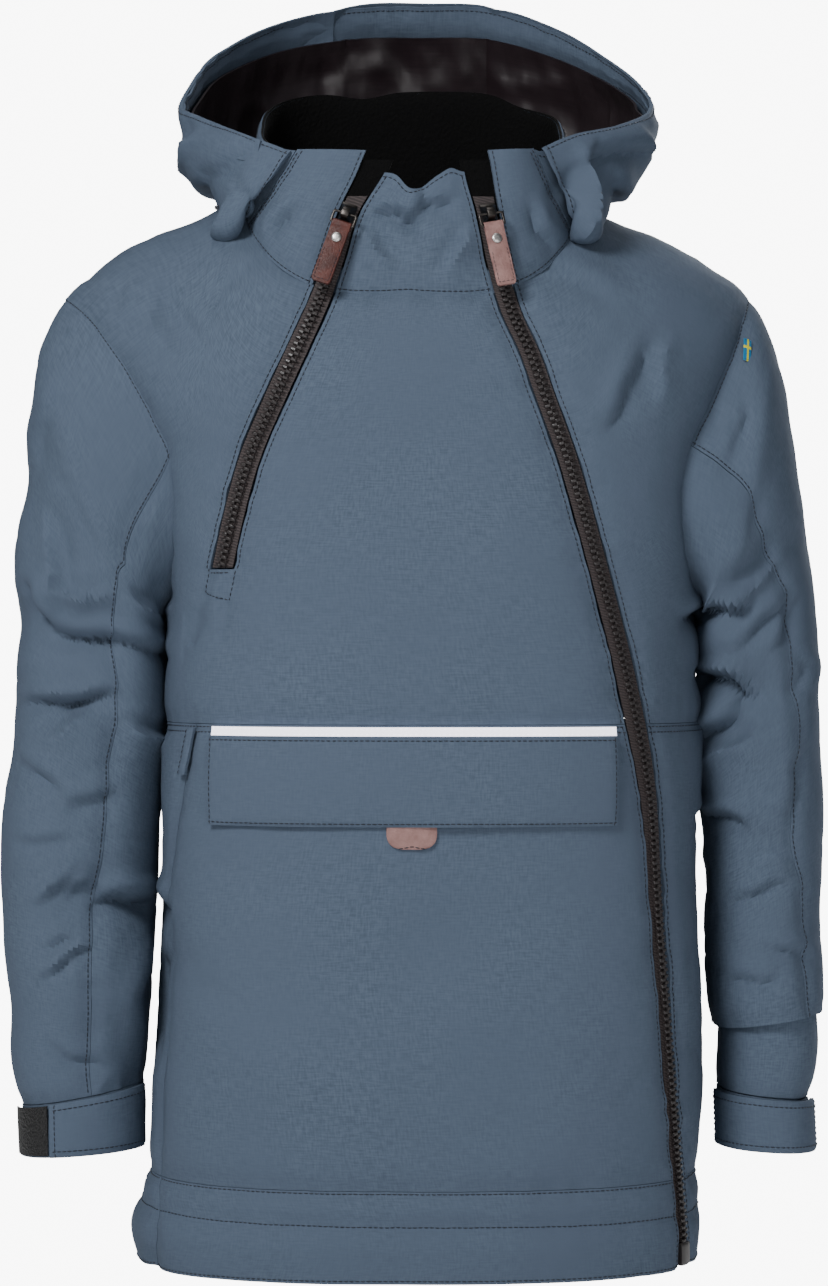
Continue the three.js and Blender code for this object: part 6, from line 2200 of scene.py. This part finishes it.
class AnorakCloth(bpy.types.PropertyGroup):
    """Numbers of the cloth, the zips and the studio."""

    cell: bpy.props.FloatProperty(
        name="Cloth cell", description="Side of a cell of the cloth's mesh, in millimetres",
        default=3.2, min=2.0, max=12.0,
    )
    seam_depth: bpy.props.FloatProperty(
        name="Seam depth", description="How far a seam draws the padding in, in millimetres",
        default=2.0, min=0.0, max=4.0,
    )
    seam_width: bpy.props.FloatProperty(
        name="Seam width", description="Half the width of the hollow at a seam, in millimetres",
        default=6.5, min=1.0, max=20.0,
    )
    pucker: bpy.props.FloatProperty(
        name="Pucker", description="Height of the ripples beside a seam, in millimetres",
        default=1.0, min=0.0, max=3.0,
    )
    waves: bpy.props.FloatProperty(
        name="Waves", description="Height of the cloth's soft unevenness, in millimetres",
        default=1.0, min=0.0, max=3.0,
    )
    creases: bpy.props.FloatProperty(
        name="Creases", description="Height of the crisp creases, as a share of their table's",
        default=2.1, min=0.0, max=3.0,
    )
    tooth_pitch: bpy.props.FloatProperty(
        name="Tooth pitch", description="Distance between two teeth of one row, in millimetres",
        default=3.9, min=2.0, max=8.0,
    )
    floor_drop: bpy.props.FloatProperty(
        name="Floor drop", description="How far the floor lies below the origin",
        default=0.66, min=0.6, max=2.0, unit="LENGTH",
    )
    key: bpy.props.FloatProperty(
        name="Key light", description="Power of the main light", default=56.0, min=1.0, max=500.0,
        unit="POWER",
    )
    backdrop: bpy.props.FloatProperty(
        name="Backdrop", description="How bright the floor and the room look", default=9.0, min=0.5,
        max=20.0,
    )


class ANORAK_OT_body(bpy.types.Operator):
    """Makes the body's nine cloth pieces with their seams and stitching"""

    bl_idname = "anorak.body"
    bl_label = "Body"
    bl_options = {"REGISTER", "UNDO"}

    def execute(self, context):
        make_body(context.scene)
        return {"FINISHED"}


class ANORAK_OT_front_trim(bpy.types.Operator):
    """Makes the reflective strip, the flap, its tab and the pocket's welt"""

    bl_idname = "anorak.front_trim"
    bl_label = "Front trim"
    bl_options = {"REGISTER", "UNDO"}

    def execute(self, context):
        make_front_trim(context.scene)
        return {"FINISHED"}


class ANORAK_OT_collar(bpy.types.Operator):
    """Makes the collar's four pieces, its fleece and the zip guards"""

    bl_idname = "anorak.collar"
    bl_label = "Collar"
    bl_options = {"REGISTER", "UNDO"}

    def execute(self, context):
        make_collar(context.scene)
        return {"FINISHED"}


class ANORAK_OT_hood(bpy.types.Operator):
    """Makes the hood's panels, the facing at its rim and its satin lining"""

    bl_idname = "anorak.hood"
    bl_label = "Hood"
    bl_options = {"REGISTER", "UNDO"}

    def execute(self, context):
        make_hood(context.scene)
        return {"FINISHED"}


class ANORAK_OT_sleeves(bpy.types.Operator):
    """Makes both sleeves and the right one's lower piece"""

    bl_idname = "anorak.sleeves"
    bl_label = "Sleeves"
    bl_options = {"REGISTER", "UNDO"}

    def execute(self, context):
        make_sleeves(context.scene)
        return {"FINISHED"}


class ANORAK_OT_cuffs(bpy.types.Operator):
    """Makes the cuffs, their straps and the hook patch"""

    bl_idname = "anorak.cuffs"
    bl_label = "Cuffs"
    bl_options = {"REGISTER", "UNDO"}

    def execute(self, context):
        make_cuffs(context.scene)
        return {"FINISHED"}


class ANORAK_OT_zips(bpy.types.Operator):
    """Makes the zips' tapes, teeth and the long one's box"""

    bl_idname = "anorak.zips"
    bl_label = "Zips"
    bl_options = {"REGISTER", "UNDO"}

    def execute(self, context):
        make_zips(context.scene)
        return {"FINISHED"}


class ANORAK_OT_pulls(bpy.types.Operator):
    """Makes each zip's slider, link, leather tab and rivet"""

    bl_idname = "anorak.pulls"
    bl_label = "Pulls"
    bl_options = {"REGISTER", "UNDO"}

    def execute(self, context):
        make_pulls(context.scene)
        return {"FINISHED"}


class ANORAK_OT_small_trim(bpy.types.Operator):
    """Makes the hood's snaps and the flag label"""

    bl_idname = "anorak.small_trim"
    bl_label = "Small trim"
    bl_options = {"REGISTER", "UNDO"}

    def execute(self, context):
        make_small_trim(context.scene)
        return {"FINISHED"}


class ANORAK_OT_stage(bpy.types.Operator):
    """Makes the floor, the lights and the camera"""

    bl_idname = "anorak.stage"
    bl_label = "Studio"
    bl_options = {"REGISTER", "UNDO"}

    def execute(self, context):
        make_stage(context.scene)
        return {"FINISHED"}


class ANORAK_PT_panel(bpy.types.Panel):
    """Numbers and steps of the anorak"""

    bl_idname = "ANORAK_PT_panel"
    bl_label = "Anorak"
    bl_space_type = "VIEW_3D"
    bl_region_type = "UI"
    bl_category = "Anorak"

    def draw(self, context):
        settings = context.scene.anorak_cloth
        for name in settings.bl_rna.properties.keys():
            if name not in ("rna_type", "name"):
                self.layout.prop(settings, name)
        for step in OPERATORS:
            self.layout.operator(step.bl_idname)


OPERATORS = (
    ANORAK_OT_body,
    ANORAK_OT_front_trim,
    ANORAK_OT_collar,
    ANORAK_OT_hood,
    ANORAK_OT_sleeves,
    ANORAK_OT_cuffs,
    ANORAK_OT_zips,
    ANORAK_OT_pulls,
    ANORAK_OT_small_trim,
    ANORAK_OT_stage,
)
CLASSES = (AnorakCloth, *OPERATORS, ANORAK_PT_panel)


def register():
    for made in CLASSES:
        bpy.utils.register_class(made)
    bpy.types.Scene.anorak_cloth = bpy.props.PointerProperty(type=AnorakCloth)


def unregister():
    del bpy.types.Scene.anorak_cloth
    for made in reversed(CLASSES):
        bpy.utils.unregister_class(made)


def main():
    register()
    bpy.context.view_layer.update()
    for step in OPERATORS:
        done = getattr(bpy.ops.anorak, step.bl_idname.split(".")[1])()
        if done != {"FINISHED"}:
            raise RuntimeError(f"{step.bl_label} was not made")


if __name__ == "__main__":
    main()
